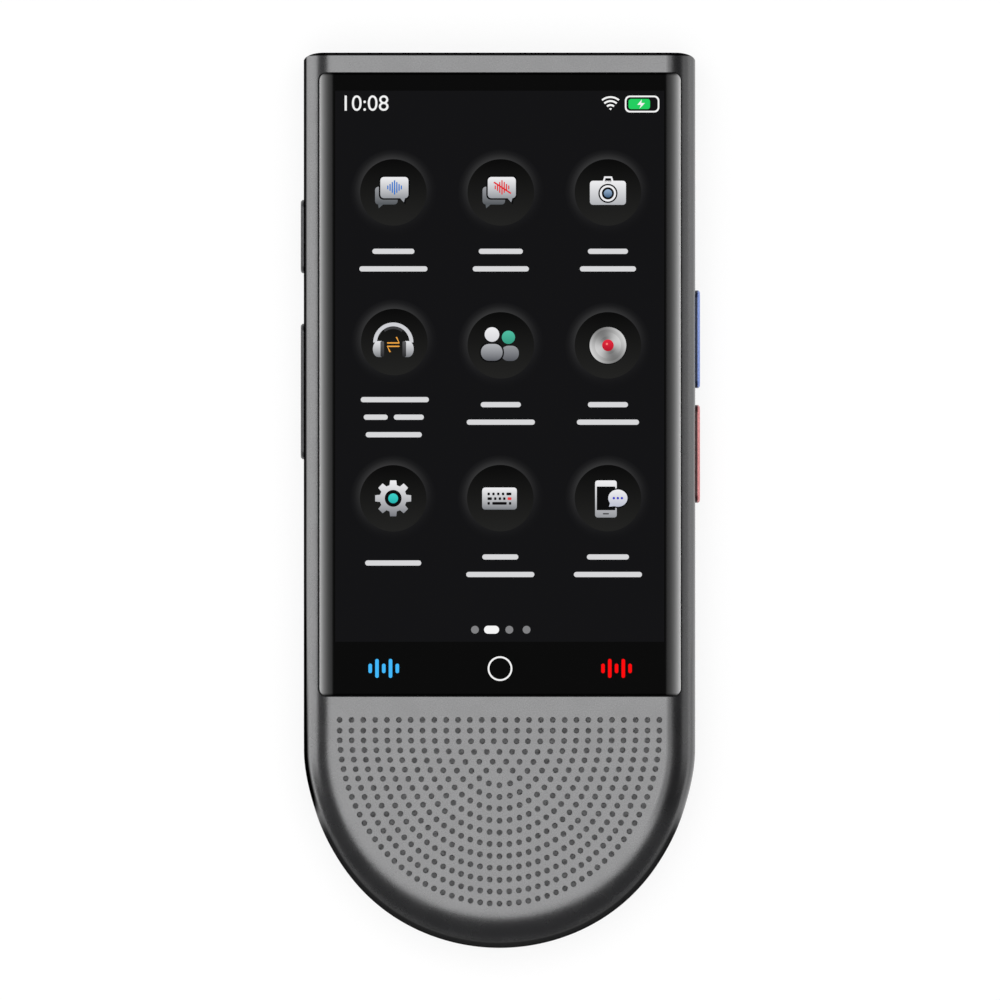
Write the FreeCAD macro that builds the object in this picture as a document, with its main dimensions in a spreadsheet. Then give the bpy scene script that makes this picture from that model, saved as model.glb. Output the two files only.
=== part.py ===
import FreeCAD, Part
import math
import os
import Sketcher

os.makedirs("parts", exist_ok=True)

# All sizes, in millimetres. The device lies on its back: +X right, +Y to the top end, +Z out of the screen.
SIZES = {
    "body_width": 61.7,
    "body_length": 141.0,
    "body_thickness": 12.5,
    "rear_cover_height": 4.0,
    "front_roll_side": 4.7,
    "front_roll_bottom": 6.1,
    "front_roll_depth": 4.0,
    "rear_roll": 3.5,
    "corner_run": 3.1,
    "corner_drop": 1.25,
    "wall": 1.6,
    "top_wall": 2.2,
    "back_wall": 1.4,
    "ledge_height": 9.3,
    "chin_plate": 1.2,
    "chin_bar": 3.3,
    "opening_margin": 3.65,
    "opening_corner": 1.0,
    "seat_end_lap": 1.75,
    "fit_gap": 0.1,
    "glass_margin": 2.35,
    "glass_top_margin": 3.15,
    "glass_length": 98.1,
    "glass_corner": 1.2,
    "glass_thickness": 1.5,
    "glass_proud": 0.2,
    "glass_edge_width": 2.4,
    "glass_edge_drop": 0.75,
    "adhesive_thickness": 0.15,
    "sensor_thickness": 0.3,
    "display_gap": 0.2,
    "display_end_gap": 0.3,
    "lcd_length": 90.0,
    "lcd_rise": 2.7,
    "lcd_thickness": 1.0,
    "backlight_thickness": 0.5,
    "guide_width": 44.0,
    "guide_length": 3.8,
    "guide_thickness": 0.7,
    "lamp_width": 1.6,
    "lamp_length": 1.2,
    "lamp_height": 0.45,
    "lamp_board_width": 42.0,
    "lamp_board_length": 3.2,
    "lamp_board_thickness": 0.3,
    "soft_key_spacing": 18.3,
    "midframe_thickness": 0.6,
    "midframe_length": 99.4,
    "midframe_drop": 0.1,
    "midframe_gap": 0.3,
    "midframe_corner": 2.0,
    "flex_slot_width": 16.0,
    "flex_slot_length": 6.0,
    "flex_slot_rise": 42.5,
    "post_side": 3.6,
    "board_width": 51.0,
    "board_length": 33.0,
    "board_inset": 20.5,
    "board_corner": 1.0,
    "screw_inset": 2.2,
    "board_thickness": 0.8,
    "board_base": 6.6,
    "battery_width": 46.0,
    "battery_length": 60.0,
    "battery_thickness": 5.2,
    "battery_gap": 2.5,
    "battery_corner": 2.0,
    "tape_inset": 3.5,
    "tape_thickness": 0.25,
    "lead_thickness": 0.3,
    "key_height": 2.8,
    "key_level": 6.25,
    "key_chamfer": 0.25,
    "left_key_proud": 0.5,
    "right_key_proud": 0.77,
    "power_length": 11.6,
    "power_inset": 28.8,
    "volume_length": 21.4,
    "volume_inset": 53.25,
    "talk_length": 15.45,
    "blue_inset": 45.0,
    "red_inset": 63.1,
    "flange_height": 3.5,
    "flange_reach": 0.8,
    "flange_thickness": 0.6,
    "flange_gap": 0.05,
    "rocker_gap": 0.15,
    "rocker_flange": 9.0,
    "rocker_nub_inset": 3.0,
    "pivot_radius": 0.45,
    "pivot_depth": 2.1,
    "nub_radius": 0.9,
    "nub_length": 0.3,
    "dome_radius": 1.7,
    "dome_height": 0.4,
    "flex_thickness": 0.15,
    "flex_foot": 3.0,
    "flex_rise": 0.5,
    "board_flex_width": 8.0,
    "board_flex_x": -5.0,
    "display_flex_width": 12.0,
    "display_flex_rise": 42.0,
    "key_flex_height": 3.6,
    "bracket_thickness": 0.6,
    "bracket_foot": 4.2,
    "grille_hole": 0.7,
    "grille_inset": 36.0,
    "grille_gap": 1.68,
    "grille_pitch": 1.865,
    "grille_margin": 5.68,
    "grille_arc_rise": 2.05,
    "mesh_thickness": 0.15,
    "speaker_width": 36.0,
    "speaker_length": 20.0,
    "speaker_inset": 24.5,
    "speaker_depth": 4.4,
    "speaker_wall": 1.0,
    "speaker_floor": 0.6,
    "speaker_corner": 4.0,
    "seal_thickness": 0.6,
    "cone_thickness": 0.2,
    "cone_drop": 0.6,
    "cone_corner": 2.4,
    "surround_side": 2.0,
    "surround_end": 1.2,
    "coil_wall": 0.4,
    "coil_length": 1.4,
    "contact_width": 1.2,
    "contact_length": 0.8,
    "contact_inset": 0.6,
    "contact_spacing": 5.0,
    "magnet_width": 20.0,
    "magnet_length": 9.0,
    "magnet_height": 2.0,
    "coil_gap": 0.5,
    "usb_width": 8.94,
    "usb_height": 3.2,
    "usb_wall": 0.3,
    "usb_length": 7.3,
    "usb_level": 6.4,
    "usb_inset": 0.4,
    "usb_back": 1.0,
    "usb_tongue_width": 6.6,
    "usb_tongue_length": 5.0,
    "usb_tongue_thickness": 0.7,
    "sub_board_width": 20.0,
    "sub_board_length": 13.0,
    "sub_board_inset": 10.0,
    "sub_board_rise": 0.1,
    "sub_board_thickness": 0.7,
    "camera_side_inset": 13.85,
    "camera_inset": 13.5,
    "camera_side": 8.5,
    "camera_base": 3.2,
    "camera_barrel_radius": 3.2,
    "camera_barrel_base": 1.5,
    "camera_ring_radius": 5.2,
    "camera_window_radius": 3.9,
    "camera_window_depth": 0.2,
    "camera_window_thickness": 0.8,
    "window_gap": 0.02,
    "flash_inset": 25.0,
    "flash_radius": 1.7,
    "flash_led_gap": 0.2,
    "flash_led_height": 0.8,
    "flash_led_side": 2.2,
    "flash_riser_side": 3.2,
    "microphone_bore": 0.5,
    "microphone_width": 2.8,
    "microphone_depth": 1.9,
    "lower_microphone_x": 8.0,
    "lower_microphone_inset": 5.6,
    "lower_microphone_level": 6.2,
    "lower_microphone_height": 2.4,
    "lower_boot_radius": 1.2,
    "lower_boot_length": 1.9,
    "upper_microphone_x": 10.0,
    "upper_microphone_inset": 3.95,
    "upper_microphone_level": 7.95,
    "upper_microphone_height": 1.1,
    "upper_boot_radius": 0.7,
    "upper_boot_length": 1.55,
    "boot_gap": 0.1,
    "antenna_width": 20.0,
    "antenna_height": 3.0,
    "antenna_thickness": 0.2,
    "antenna_x": -14.0,
    "antenna_base": 5.0,
    "clip_thickness": 1.2,
    "clip_length": 7.0,
    "clip_height": 4.0,
    "clip_sink": 1.2,
    "rear_lip": 0.65,
    "screw_radius": 0.7,
    "shield_wall": 0.2,
    "screw_head_radius": 1.3,
    "screw_head_height": 0.6,
    "screw_length": 2.2,
}

# Blocks on the boards: width, length and height, then the centre in X and Y from the board's centre.
BLOCKS = {
    "processor_chip": (12.0, 12.0, 1.0, 2.0, 4.0),
    "memory_chip": (9.0, 11.0, 0.9, 14.0, 4.0),
    "processor_shield": (26.0, 15.0, 1.5, 8.0, 4.0),
    "radio_shield": (12.0, 9.0, 1.4, 15.3, -9.5),
    "battery_connector": (9.0, 3.0, 1.1, 4.0, -12.5),
    "vibration_motor": (8.0, 8.0, 2.6, -17.0, -10.4),
}
for block, values in BLOCKS.items():
    for side, value in zip(("width", "length", "height", "x", "y"), values):
        SIZES["%s_%s" % (block, side)] = value

# Row steps along each grille arc, from one end to the other.
GRILLE_TOP_HOLES = 28
GRILLE_ARCS = 14
GRILLE_STEP = 1.72
# Angles round the rolled edges at which a section is drawn.
ROLL_ANGLES = (0, 15, 30, 45, 60, 75, 90)

doc = FreeCAD.newDocument("translator")
sheet = doc.addObject("Spreadsheet::Sheet", "Dims")
for row, (name, value) in enumerate(SIZES.items(), start=1):
    sheet.set("A%d" % row, str(value))
    sheet.setAlias("A%d" % row, name)
doc.recompute()


class Term:
    """A length with its value and the sheet expression that gives it."""

    def __init__(self, value, text):
        self.value = value
        self.text = text

    def joined(self, other, sign, result):
        return Term(result, "(%s %s %s)" % (self.text, sign, other.text))

    def __add__(self, other):
        other = term(other)
        return self.joined(other, "+", self.value + other.value)

    def __sub__(self, other):
        other = term(other)
        return self.joined(other, "-", self.value - other.value)

    def __mul__(self, other):
        other = term(other)
        return self.joined(other, "*", self.value * other.value)

    def __truediv__(self, other):
        other = term(other)
        return self.joined(other, "/", self.value / other.value)

    def __neg__(self):
        return Term(-self.value, "(0 - %s)" % self.text)


def term(value):
    """The value itself, or a plain number as a term."""
    if isinstance(value, Term):
        return value
    return Term(float(value), "%.6f" % value if value >= 0 else "(0 - %.6f)" % -value)


def size(name):
    """A named size of the sheet as a term."""
    return Term(float(getattr(sheet, name)), "Dims." + name)


def bind(item, prop, value):
    """Tie one property of an object to a term."""
    item.setExpression(prop, term(value).text)


def place(item, x, y, z, rotation=None):
    """Give an object its place, tied to the sheet."""
    turn = rotation or FreeCAD.Rotation()
    item.Placement = FreeCAD.Placement(FreeCAD.Vector(0, 0, 0), turn)
    for axis, value in zip("xyz", (x, y, z)):
        bind(item, "Placement.Base." + axis, value)


def new_body(label):
    """An empty body with a label."""
    body = doc.addObject("PartDesign::Body", label)
    body.Label = label
    return body


def new_sketch(body, name, level=0, plane="XY_Plane"):
    """A sketch on one of the body's own planes, lifted by level."""
    sketch = body.newObject("Sketcher::SketchObject", name)
    for feature in body.Origin.OriginFeatures:
        if feature.Role == plane:
            sketch.AttachmentSupport = [(feature, "")]
    sketch.MapMode = "FlatFace"
    bind(sketch, "AttachmentOffset.Base.z", level)
    return sketch


def pin_point(sketch, element, which, x, y, only=None):
    """Fix a point of a sketch by its distances from the origin."""
    for kind, axis, value in (("DistanceX", -2, term(x)), ("DistanceY", -1, term(y))):
        if only and kind != only:
            continue
        if abs(value.value) < 1e-9:
            sketch.addConstraint(Sketcher.Constraint("PointOnObject", element, which, axis))
            continue
        if value.value > 0:
            rule = Sketcher.Constraint(kind, -1, 1, element, which, value.value)
            text = value.text
        else:
            rule = Sketcher.Constraint(kind, element, which, -1, 1, -value.value)
            text = (-value).text
        index = sketch.addConstraint(rule)
        sketch.setExpression("Constraints[%d]" % index, text)


def draw_loop(sketch, points, centres):
    """A closed loop, anticlockwise. centres maps an edge's number to its arc centre."""
    count = len(points)
    first = sketch.GeometryCount
    flat = [(term(x), term(y)) for x, y in points]
    for index in range(count):
        x0, y0 = flat[index]
        x1, y1 = flat[(index + 1) % count]
        start = FreeCAD.Vector(x0.value, y0.value, 0)
        end = FreeCAD.Vector(x1.value, y1.value, 0)
        if index in centres:
            cx, cy = (term(value) for value in centres[index])
            middle = FreeCAD.Vector(cx.value, cy.value, 0)
            circle = Part.Circle(middle, FreeCAD.Vector(0, 0, 1), start.distanceToPoint(middle))
            angle0 = math.atan2(start.y - middle.y, start.x - middle.x)
            angle1 = math.atan2(end.y - middle.y, end.x - middle.x)
            if angle1 <= angle0:
                angle1 += 2 * math.pi
            sketch.addGeometry(Part.ArcOfCircle(circle, angle0, angle1), False)
        else:
            sketch.addGeometry(Part.LineSegment(start, end), False)
    for index in range(count):
        following = first + (index + 1) % count
        sketch.addConstraint(Sketcher.Constraint("Coincident", first + index, 2, following, 1))
    for index in range(count):
        pin_point(sketch, first + index, 1, *flat[index])
        if index in centres:
            x0, y0 = flat[index]
            x1, y1 = flat[(index + 1) % count]
            wide = abs(x1.value - x0.value) > abs(y1.value - y0.value)
            pin_point(sketch, first + index, 3, *centres[index], only="DistanceY" if wide else "DistanceX")


def draw_rectangle(sketch, width, length, x=0, y=0, radius=None, rounded=False):
    """A rectangle about a centre. A radius takes its corners off, straight unless rounded is set."""
    half_w = term(width) / 2
    half_l = term(length) / 2
    left, right = term(x) - half_w, term(x) + half_w
    low, high = term(y) - half_l, term(y) + half_l
    if radius is None:
        draw_loop(sketch, [(left, low), (right, low), (right, high), (left, high)], {})
        return
    r = term(radius)
    points = [
        (left + r, low), (right - r, low),
        (right, low + r), (right, high - r),
        (right - r, high), (left + r, high),
        (left, high - r), (left, low + r),
    ]
    centres = {
        1: (right - r, low + r),
        3: (right - r, high - r),
        5: (left + r, high - r),
        7: (left + r, low + r),
    }
    draw_loop(sketch, points, centres if rounded else {})


def draw_octagon(sketch, radius, x=0, y=0):
    """An eight-sided outline about a centre, for small bores and nubs that don't show."""
    side = term(radius) * 2
    draw_rectangle(sketch, side, side, x, y, radius=term(radius) * (2 - math.sqrt(2)))


def draw_stadium(sketch, width, length, x=0, y=0):
    """A slot shape with round ends, its long side along Y."""
    r = term(width) / 2
    reach = term(length) / 2 - r
    left, right = term(x) - r, term(x) + r
    low, high = term(y) - reach, term(y) + reach
    draw_loop(sketch, [(left, low), (right, low), (right, high), (left, high)],
              {0: (x, low), 2: (x, high)})


def draw_circle(sketch, radius, x=0, y=0):
    """A circle about a centre."""
    cx, cy, r = term(x), term(y), term(radius)
    number = sketch.GeometryCount
    middle = FreeCAD.Vector(cx.value, cy.value, 0)
    sketch.addGeometry(Part.Circle(middle, FreeCAD.Vector(0, 0, 1), r.value), False)
    index = sketch.addConstraint(Sketcher.Constraint("Radius", number, r.value))
    sketch.setExpression("Constraints[%d]" % index, r.text)
    pin_point(sketch, number, 3, cx, cy)


def draw_tongue(sketch, half_width, centre_y, top_y, corner=None):
    """The body's outline: straight sides, a half-round lower end and eased top corners."""
    a, c, top = term(half_width), term(centre_y), term(top_y)
    if corner is None:
        points = [(-a, c), (a, c), (a, top), (-a, top)]
        draw_loop(sketch, points, {0: (0, c)})
        return
    run, drop = corner
    radius = (run * run + drop * drop) / (drop * 2)
    points = [(-a, c), (a, c), (a, top - drop), (a - run, top), (-a + run, top), (-a, top - drop)]
    centres = {0: (0, c), 2: (a - run, top - radius), 4: (-a + run, top - radius)}
    draw_loop(sketch, points, centres)


def pad(body, sketch, height, reverse=False):
    """Raise a sketch into the body."""
    feature = body.newObject("PartDesign::Pad", sketch.Name + "_pad")
    feature.Profile = sketch
    bind(feature, "Length", height)
    feature.Reversed = reverse
    sketch.Visibility = False
    return feature


def pocket(body, sketch, depth, upward=False):
    """Cut a sketch out of the body, downward unless upward is set."""
    feature = body.newObject("PartDesign::Pocket", sketch.Name + "_cut")
    feature.Profile = sketch
    bind(feature, "Length", depth)
    feature.Reversed = upward
    sketch.Visibility = False
    return feature


def ease(body, kind, amount, wanted):
    """A Fillet or Chamfer on the edges of the body's last feature that wanted() picks."""
    doc.recompute()
    base = body.Tip
    names = ["Edge%d" % (i + 1) for i, edge in enumerate(base.Shape.Edges) if wanted(edge)]
    feature = body.newObject("PartDesign::" + kind, "%s_eased" % body.Name)
    feature.Base = (base, names)
    bind(feature, "Radius" if kind == "Fillet" else "Size", amount)
    return feature


def plate(label, width, length, thickness, x, y, z, radius=None, holes=()):
    """A flat piece about a centre, standing on level z, with optional small holes."""
    body = new_body(label)
    sketch = new_sketch(body, label + "_outline")
    draw_rectangle(sketch, width, length, radius=radius)
    for hole_x, hole_y, hole_radius in holes:
        draw_octagon(sketch, hole_radius, hole_x, hole_y)
    pad(body, sketch, thickness)
    place(body, x, y, z)
    return body


def box(label, width, length, height, x, y, z):
    """A plain block, centred in X and Y and standing on level z."""
    item = doc.addObject("Part::Box", label)
    item.Label = label
    bind(item, "Length", width)
    bind(item, "Width", length)
    bind(item, "Height", height)
    place(item, term(x) - term(width) / 2, term(y) - term(length) / 2, z)
    return item


def rod(label, radius, height, x, y, z, rotation=None):
    """A round bar from a point, upward unless turned."""
    item = doc.addObject("Part::Cylinder", label)
    item.Label = label
    bind(item, "Radius", radius)
    bind(item, "Height", height)
    place(item, x, y, z, rotation)
    return item


def stud(label, radius, height, x, y, z, rotation=None):
    """An eight-sided bar from a point, upward unless turned, for small round pieces inside."""
    item = doc.addObject("Part::Prism", label)
    item.Label = label
    item.Polygon = 8
    bind(item, "Circumradius", radius)
    bind(item, "Height", height)
    place(item, x, y, z, rotation)
    return item


def joined(label, items):
    """Several pieces made into one."""
    fusion = doc.addObject("Part::MultiFuse", label)
    fusion.Label = label
    fusion.Shapes = items
    return fusion


def group(label, items):
    """Separate solids that share one node."""
    compound = doc.addObject("Part::Compound", label)
    compound.Label = label
    compound.Links = items
    return compound


def less(label, base, tools):
    """A piece with other shapes cut away."""
    tool = tools[0] if len(tools) == 1 else joined(label + "_tools", tools)
    cut = doc.addObject("Part::Cut", label)
    cut.Label = label
    cut.Base = base
    cut.Tool = tool
    return cut


# Levels and lines that several pieces share.
HALF_WIDTH = size("body_width") / 2
TOP_END = size("body_length") / 2
ROUND_CENTRE = HALF_WIDTH - TOP_END
FRONT = size("body_thickness")
GLASS_TOP = FRONT + size("glass_proud")
GLASS_BASE = GLASS_TOP - size("glass_thickness")
LEDGE_TOP = GLASS_BASE - size("adhesive_thickness")
SENSOR_BASE = GLASS_BASE - size("sensor_thickness")
LCD_BASE = SENSOR_BASE - size("lcd_thickness")
BACKLIGHT_BASE = LCD_BASE - size("backlight_thickness")
MIDFRAME_BASE = size("ledge_height") - size("midframe_thickness")
CHIN_BASE = FRONT - size("chin_plate")
GLASS_WIDTH = size("body_width") - size("glass_margin") * 2
GLASS_CENTRE = TOP_END - size("glass_top_margin") - size("glass_length") / 2
LCD_CENTRE = GLASS_CENTRE + size("lcd_rise")
MIDFRAME_CENTRE = GLASS_CENTRE - size("midframe_drop")
OPENING_WIDTH = size("body_width") - size("opening_margin") * 2
OPENING_HIGH = LCD_CENTRE + size("lcd_length") / 2 + size("display_end_gap")
OPENING_LOW = GLASS_CENTRE - size("glass_length") / 2 + size("seat_end_lap")
OPENING_LENGTH = OPENING_HIGH - OPENING_LOW
OPENING_CENTRE = (OPENING_HIGH + OPENING_LOW) / 2
CHIN_TOP = OPENING_LOW - size("chin_bar")
BOARD_TOP = size("board_base") + size("board_thickness")
BOARD_CENTRE = TOP_END - size("board_inset")
BATTERY_CENTRE = BOARD_CENTRE - (size("board_length") + size("battery_length")) / 2 - size("battery_gap")
SUB_BOARD_BASE = size("rear_cover_height") + size("sub_board_rise")
SUB_BOARD_TOP = SUB_BOARD_BASE + size("sub_board_thickness")
SUB_BOARD_CENTRE = size("sub_board_inset") - TOP_END
SPEAKER_CENTRE = size("speaker_inset") - TOP_END
POWER_CENTRE = TOP_END - size("power_inset")
VOLUME_CENTRE = TOP_END - size("volume_inset")
BLUE_CENTRE = TOP_END - size("blue_inset")
RED_CENTRE = TOP_END - size("red_inset")
CAMERA_X = size("camera_side_inset") - HALF_WIDTH
CAMERA_Y = TOP_END - size("camera_inset")
FLASH_Y = TOP_END - size("flash_inset")
USB_MOUTH = TOP_END - size("usb_inset")
LOWER_BOOT = size("lower_microphone_inset") - TOP_END
UPPER_BOOT = TOP_END - size("upper_microphone_inset")
INNER_HALF = HALF_WIDTH - size("wall")
DOME_TOP = INNER_HALF - size("flange_gap") - size("flange_thickness") - size("nub_length")
TURN_RIGHT = FreeCAD.Rotation(FreeCAD.Vector(0, 1, 0), 90)
TURN_LEFT = FreeCAD.Rotation(FreeCAD.Vector(0, 1, 0), -90)
TOWARDS_BOTTOM = FreeCAD.Rotation(FreeCAD.Vector(1, 0, 0), 90)
TOWARDS_TOP = FreeCAD.Rotation(FreeCAD.Vector(1, 0, 0), -90)
LYING_SLOT = TOWARDS_BOTTOM.multiply(FreeCAD.Rotation(FreeCAD.Vector(0, 0, 1), 90))
CORNER = (size("corner_run"), size("corner_drop"))


def rolled_loft(body, name, base, depth, side_roll, end_roll, towards_front):
    """A rolled edge as a run of bands between outlines that draw in, cut off flat at the top end."""
    sketches = []
    for number, angle in enumerate(ROLL_ANGLES):
        inset = 1 - math.cos(math.radians(angle))
        rise = math.sin(math.radians(angle))
        level = base + depth * rise if towards_front else base - depth * rise
        half = HALF_WIDTH - side_roll * inset
        lowest = -TOP_END + end_roll * inset
        sketch = new_sketch(body, "%s_outline%d" % (name, number), level)
        draw_tongue(sketch, half, lowest + half, TOP_END, CORNER)
        sketches.append(sketch)
    loft = body.newObject("PartDesign::AdditiveLoft", name + "_roll")
    loft.Profile = sketches[0]
    loft.Sections = sketches[1:]
    loft.Ruled = True
    for sketch in sketches:
        sketch.Visibility = False
    return loft


def grille_points():
    """Hole centres: one straight row, then nested half-ellipses below it."""
    pitch, gap = SIZES["grille_pitch"], SIZES["grille_gap"]
    top, rise = (size("grille_inset") - TOP_END).value, SIZES["grille_arc_rise"]
    widest = (HALF_WIDTH - size("grille_margin")).value
    first = -pitch * (GRILLE_TOP_HOLES - 1) / 2
    points = [(first + pitch * index, top) for index in range(GRILLE_TOP_HOLES)]
    for arc in range(GRILLE_ARCS):
        across = widest - pitch * arc
        down = across + rise
        fine = [(across * math.cos(math.pi * i / 400), -down * math.sin(math.pi * i / 400))
                for i in range(401)]
        lengths = [0.0]
        for (x0, y0), (x1, y1) in zip(fine, fine[1:]):
            lengths.append(lengths[-1] + math.hypot(x1 - x0, y1 - y0))
        count = max(GRILLE_TOP_HOLES * 2 - 2 - 4 * arc, round(lengths[-1] / GRILLE_STEP))
        for step in range(count):
            goal = lengths[-1] * step / (count - 1)
            nearest = next(i for i, value in enumerate(lengths) if value >= goal - 1e-9)
            x, y = fine[nearest]
            points.append((x, top - gap + y))
    return points


def grille_holes():
    """The drilled loudspeaker grille as square prisms. Their places follow no straight or polar pattern."""
    side, base, height = SIZES["grille_hole"], CHIN_BASE.value - 1, SIZES["chin_plate"] + 2
    tools = []
    for x, y in grille_points():
        prism = Part.makeBox(side, side, height)
        prism.translate(FreeCAD.Vector(x - side / 2, y - side / 2, base))
        tools.append(prism)
    item = doc.addObject("Part::Feature", "grille_hole_cutters")
    item.Shape = Part.makeCompound(tools)
    item.Placement = FreeCAD.Placement()
    return item


def key_slot(label, length, y, side):
    """The space a side key moves in, cut through the wall."""
    body = new_body(label)
    sketch = new_sketch(body, label + "_outline")
    gap = size("fit_gap") * 2
    draw_stadium(sketch, size("key_height") + gap, term(length) + gap)
    pad(body, sketch, size("wall") + 2)
    place(body, (INNER_HALF - 1) * side, y, size("key_level"), TURN_RIGHT if side > 0 else TURN_LEFT)
    return body


def front_housing():
    """The metal front body with its glass seat, cavities, grille and key slots."""
    body = new_body("front_body")
    straight_top = FRONT - size("front_roll_depth")
    straight = new_sketch(body, "front_straight", size("rear_cover_height"))
    draw_tongue(straight, HALF_WIDTH, ROUND_CENTRE, TOP_END, CORNER)
    pad(body, straight, straight_top - size("rear_cover_height"))
    rolled_loft(body, "front", straight_top, size("front_roll_depth"),
                size("front_roll_side"), size("front_roll_bottom"), True)
    hollow = new_sketch(body, "front_hollow", size("rear_cover_height"))
    draw_tongue(hollow, INNER_HALF, ROUND_CENTRE, TOP_END - size("top_wall"))
    pocket(body, hollow, size("ledge_height") - size("rear_cover_height"), upward=True)
    chin = new_sketch(body, "front_chin", size("rear_cover_height"))
    draw_tongue(chin, OPENING_WIDTH / 2, ROUND_CENTRE, CHIN_TOP)
    pocket(body, chin, CHIN_BASE - size("rear_cover_height"), upward=True)
    seat = new_sketch(body, "front_seat", FRONT + 1)
    gap = size("fit_gap") * 2
    draw_rectangle(seat, GLASS_WIDTH + gap, size("glass_length") + gap,
                   y=GLASS_CENTRE, radius=size("glass_corner") + size("fit_gap"), rounded=True)
    pocket(body, seat, FRONT + 1 - LEDGE_TOP)
    window = new_sketch(body, "front_window", FRONT + 1)
    draw_rectangle(window, OPENING_WIDTH, OPENING_LENGTH, y=OPENING_CENTRE, radius=size("opening_corner"))
    pocket(body, window, FRONT + 1 - size("ledge_height") + 1)
    usb_hole = new_body("usb_slot")
    usb_sketch = new_sketch(usb_hole, "usb_slot_outline")
    draw_stadium(usb_sketch, size("usb_height") + gap, size("usb_width") + gap)
    pad(usb_hole, usb_sketch, 8)
    place(usb_hole, 0, -TOP_END + 7, size("usb_level"), LYING_SLOT)
    lower_bore = rod("lower_microphone_bore", size("microphone_bore"), 9, size("lower_microphone_x"),
                     LOWER_BOOT + 2, size("lower_microphone_level"), TOWARDS_BOTTOM)
    upper_bore = rod("upper_microphone_bore", size("microphone_bore"), 6, size("upper_microphone_x"),
                     UPPER_BOOT, size("upper_microphone_level"), TOWARDS_TOP)
    slots = [
        key_slot("power_slot", size("power_length"), POWER_CENTRE, -1),
        key_slot("volume_slot", size("volume_length"), VOLUME_CENTRE, -1),
        key_slot("blue_slot", size("talk_length"), BLUE_CENTRE, 1),
        key_slot("red_slot", size("talk_length"), RED_CENTRE, 1),
    ]
    ported = less("front_ported", body, [usb_hole, lower_bore, upper_bore] + slots)
    return less("front_housing", ported, [grille_holes()])


def rear_cover():
    """The back shell with its snap clips and the camera and flash openings."""
    body = new_body("rear_body")
    roll = size("rear_roll")
    rim = new_sketch(body, "rear_rim", roll)
    draw_tongue(rim, HALF_WIDTH, ROUND_CENTRE, TOP_END, CORNER)
    pad(body, rim, size("rear_cover_height") - roll)
    rolled_loft(body, "rear", roll, roll, roll, roll, False)
    hollow = new_sketch(body, "rear_hollow", size("rear_cover_height"))
    draw_tongue(hollow, INNER_HALF - size("rear_lip"), ROUND_CENTRE, TOP_END - size("top_wall"))
    pocket(body, hollow, size("rear_cover_height") - size("back_wall"))
    clips = []
    thick = size("clip_thickness")
    middle = INNER_HALF - size("fit_gap") - thick / 2
    base = size("rear_cover_height") - size("clip_sink") * 2
    rows = (CAMERA_Y, ROUND_CENTRE + size("clip_length") * 4, ROUND_CENTRE + size("clip_length") * 1.4)
    for number, y in enumerate(rows):
        for way, side in enumerate((-1, 1)):
            label = "cover_clip%d" % (number * 2 + way)
            clips.append(box(label, thick, size("clip_length"), size("clip_height"), middle * side, y, base))
    whole = joined("rear_clipped", [body] + clips)
    camera = rod("camera_bore", size("camera_ring_radius") + size("fit_gap"), 4, CAMERA_X, CAMERA_Y, -1)
    flash = rod("flash_bore", size("flash_radius") + size("fit_gap"), 4, CAMERA_X, FLASH_Y, -1)
    return less("rear_cover", whole, [camera, flash])


def touch_glass():
    """The cover glass, its long edges curved down to the housing."""
    body = new_body("touch_glass")
    sketch = new_sketch(body, "glass_section", plane="XZ_Plane")
    half = GLASS_WIDTH / 2
    run, drop = size("glass_edge_width"), size("glass_edge_drop")
    thick = size("glass_thickness")
    radius = (run * run + drop * drop) / (drop * 2)
    points = [(-half, 0), (half, 0), (half, thick - drop), (half - run, thick),
              (-half + run, thick), (-half, thick - drop)]
    centres = {2: (half - run, thick - radius), 4: (-half + run, thick - radius)}
    draw_loop(sketch, points, centres)
    pad(body, sketch, size("glass_length"))
    place(body, 0, GLASS_CENTRE + size("glass_length") / 2, GLASS_BASE)
    ease(body, "Fillet", size("glass_corner"), is_upright)


def is_upright(edge):
    """Whether an edge is straight and runs along Z."""
    extent = edge.BoundBox
    return extent.XLength < 1e-6 and extent.YLength < 1e-6


def display_stack():
    """The pieces of the display, from the glass's seat down to the backlight."""
    frame = new_body("display_adhesive")
    sketch = new_sketch(frame, "adhesive_outline")
    inset = size("display_gap") * 2
    lap = size("fit_gap") * 2
    draw_rectangle(sketch, GLASS_WIDTH - inset, size("glass_length") - inset, radius=size("glass_corner"))
    draw_rectangle(sketch, OPENING_WIDTH + lap, OPENING_LENGTH + lap, y=OPENING_CENTRE - GLASS_CENTRE)
    pad(frame, sketch, size("adhesive_thickness"))
    place(frame, 0, GLASS_CENTRE, LEDGE_TOP)
    width = OPENING_WIDTH - inset
    corner = size("opening_corner")
    plate("touch_sensor", width, OPENING_LENGTH - inset, size("sensor_thickness"),
          0, OPENING_CENTRE, SENSOR_BASE, radius=corner)
    plate("lcd_panel", width, size("lcd_length"), size("lcd_thickness"), 0, LCD_CENTRE, LCD_BASE, radius=corner)
    plate("lcd_backlight", width, size("lcd_length"), size("backlight_thickness"),
          0, LCD_CENTRE, BACKLIGHT_BASE, radius=corner)
    soft_key_lamps()


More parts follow.
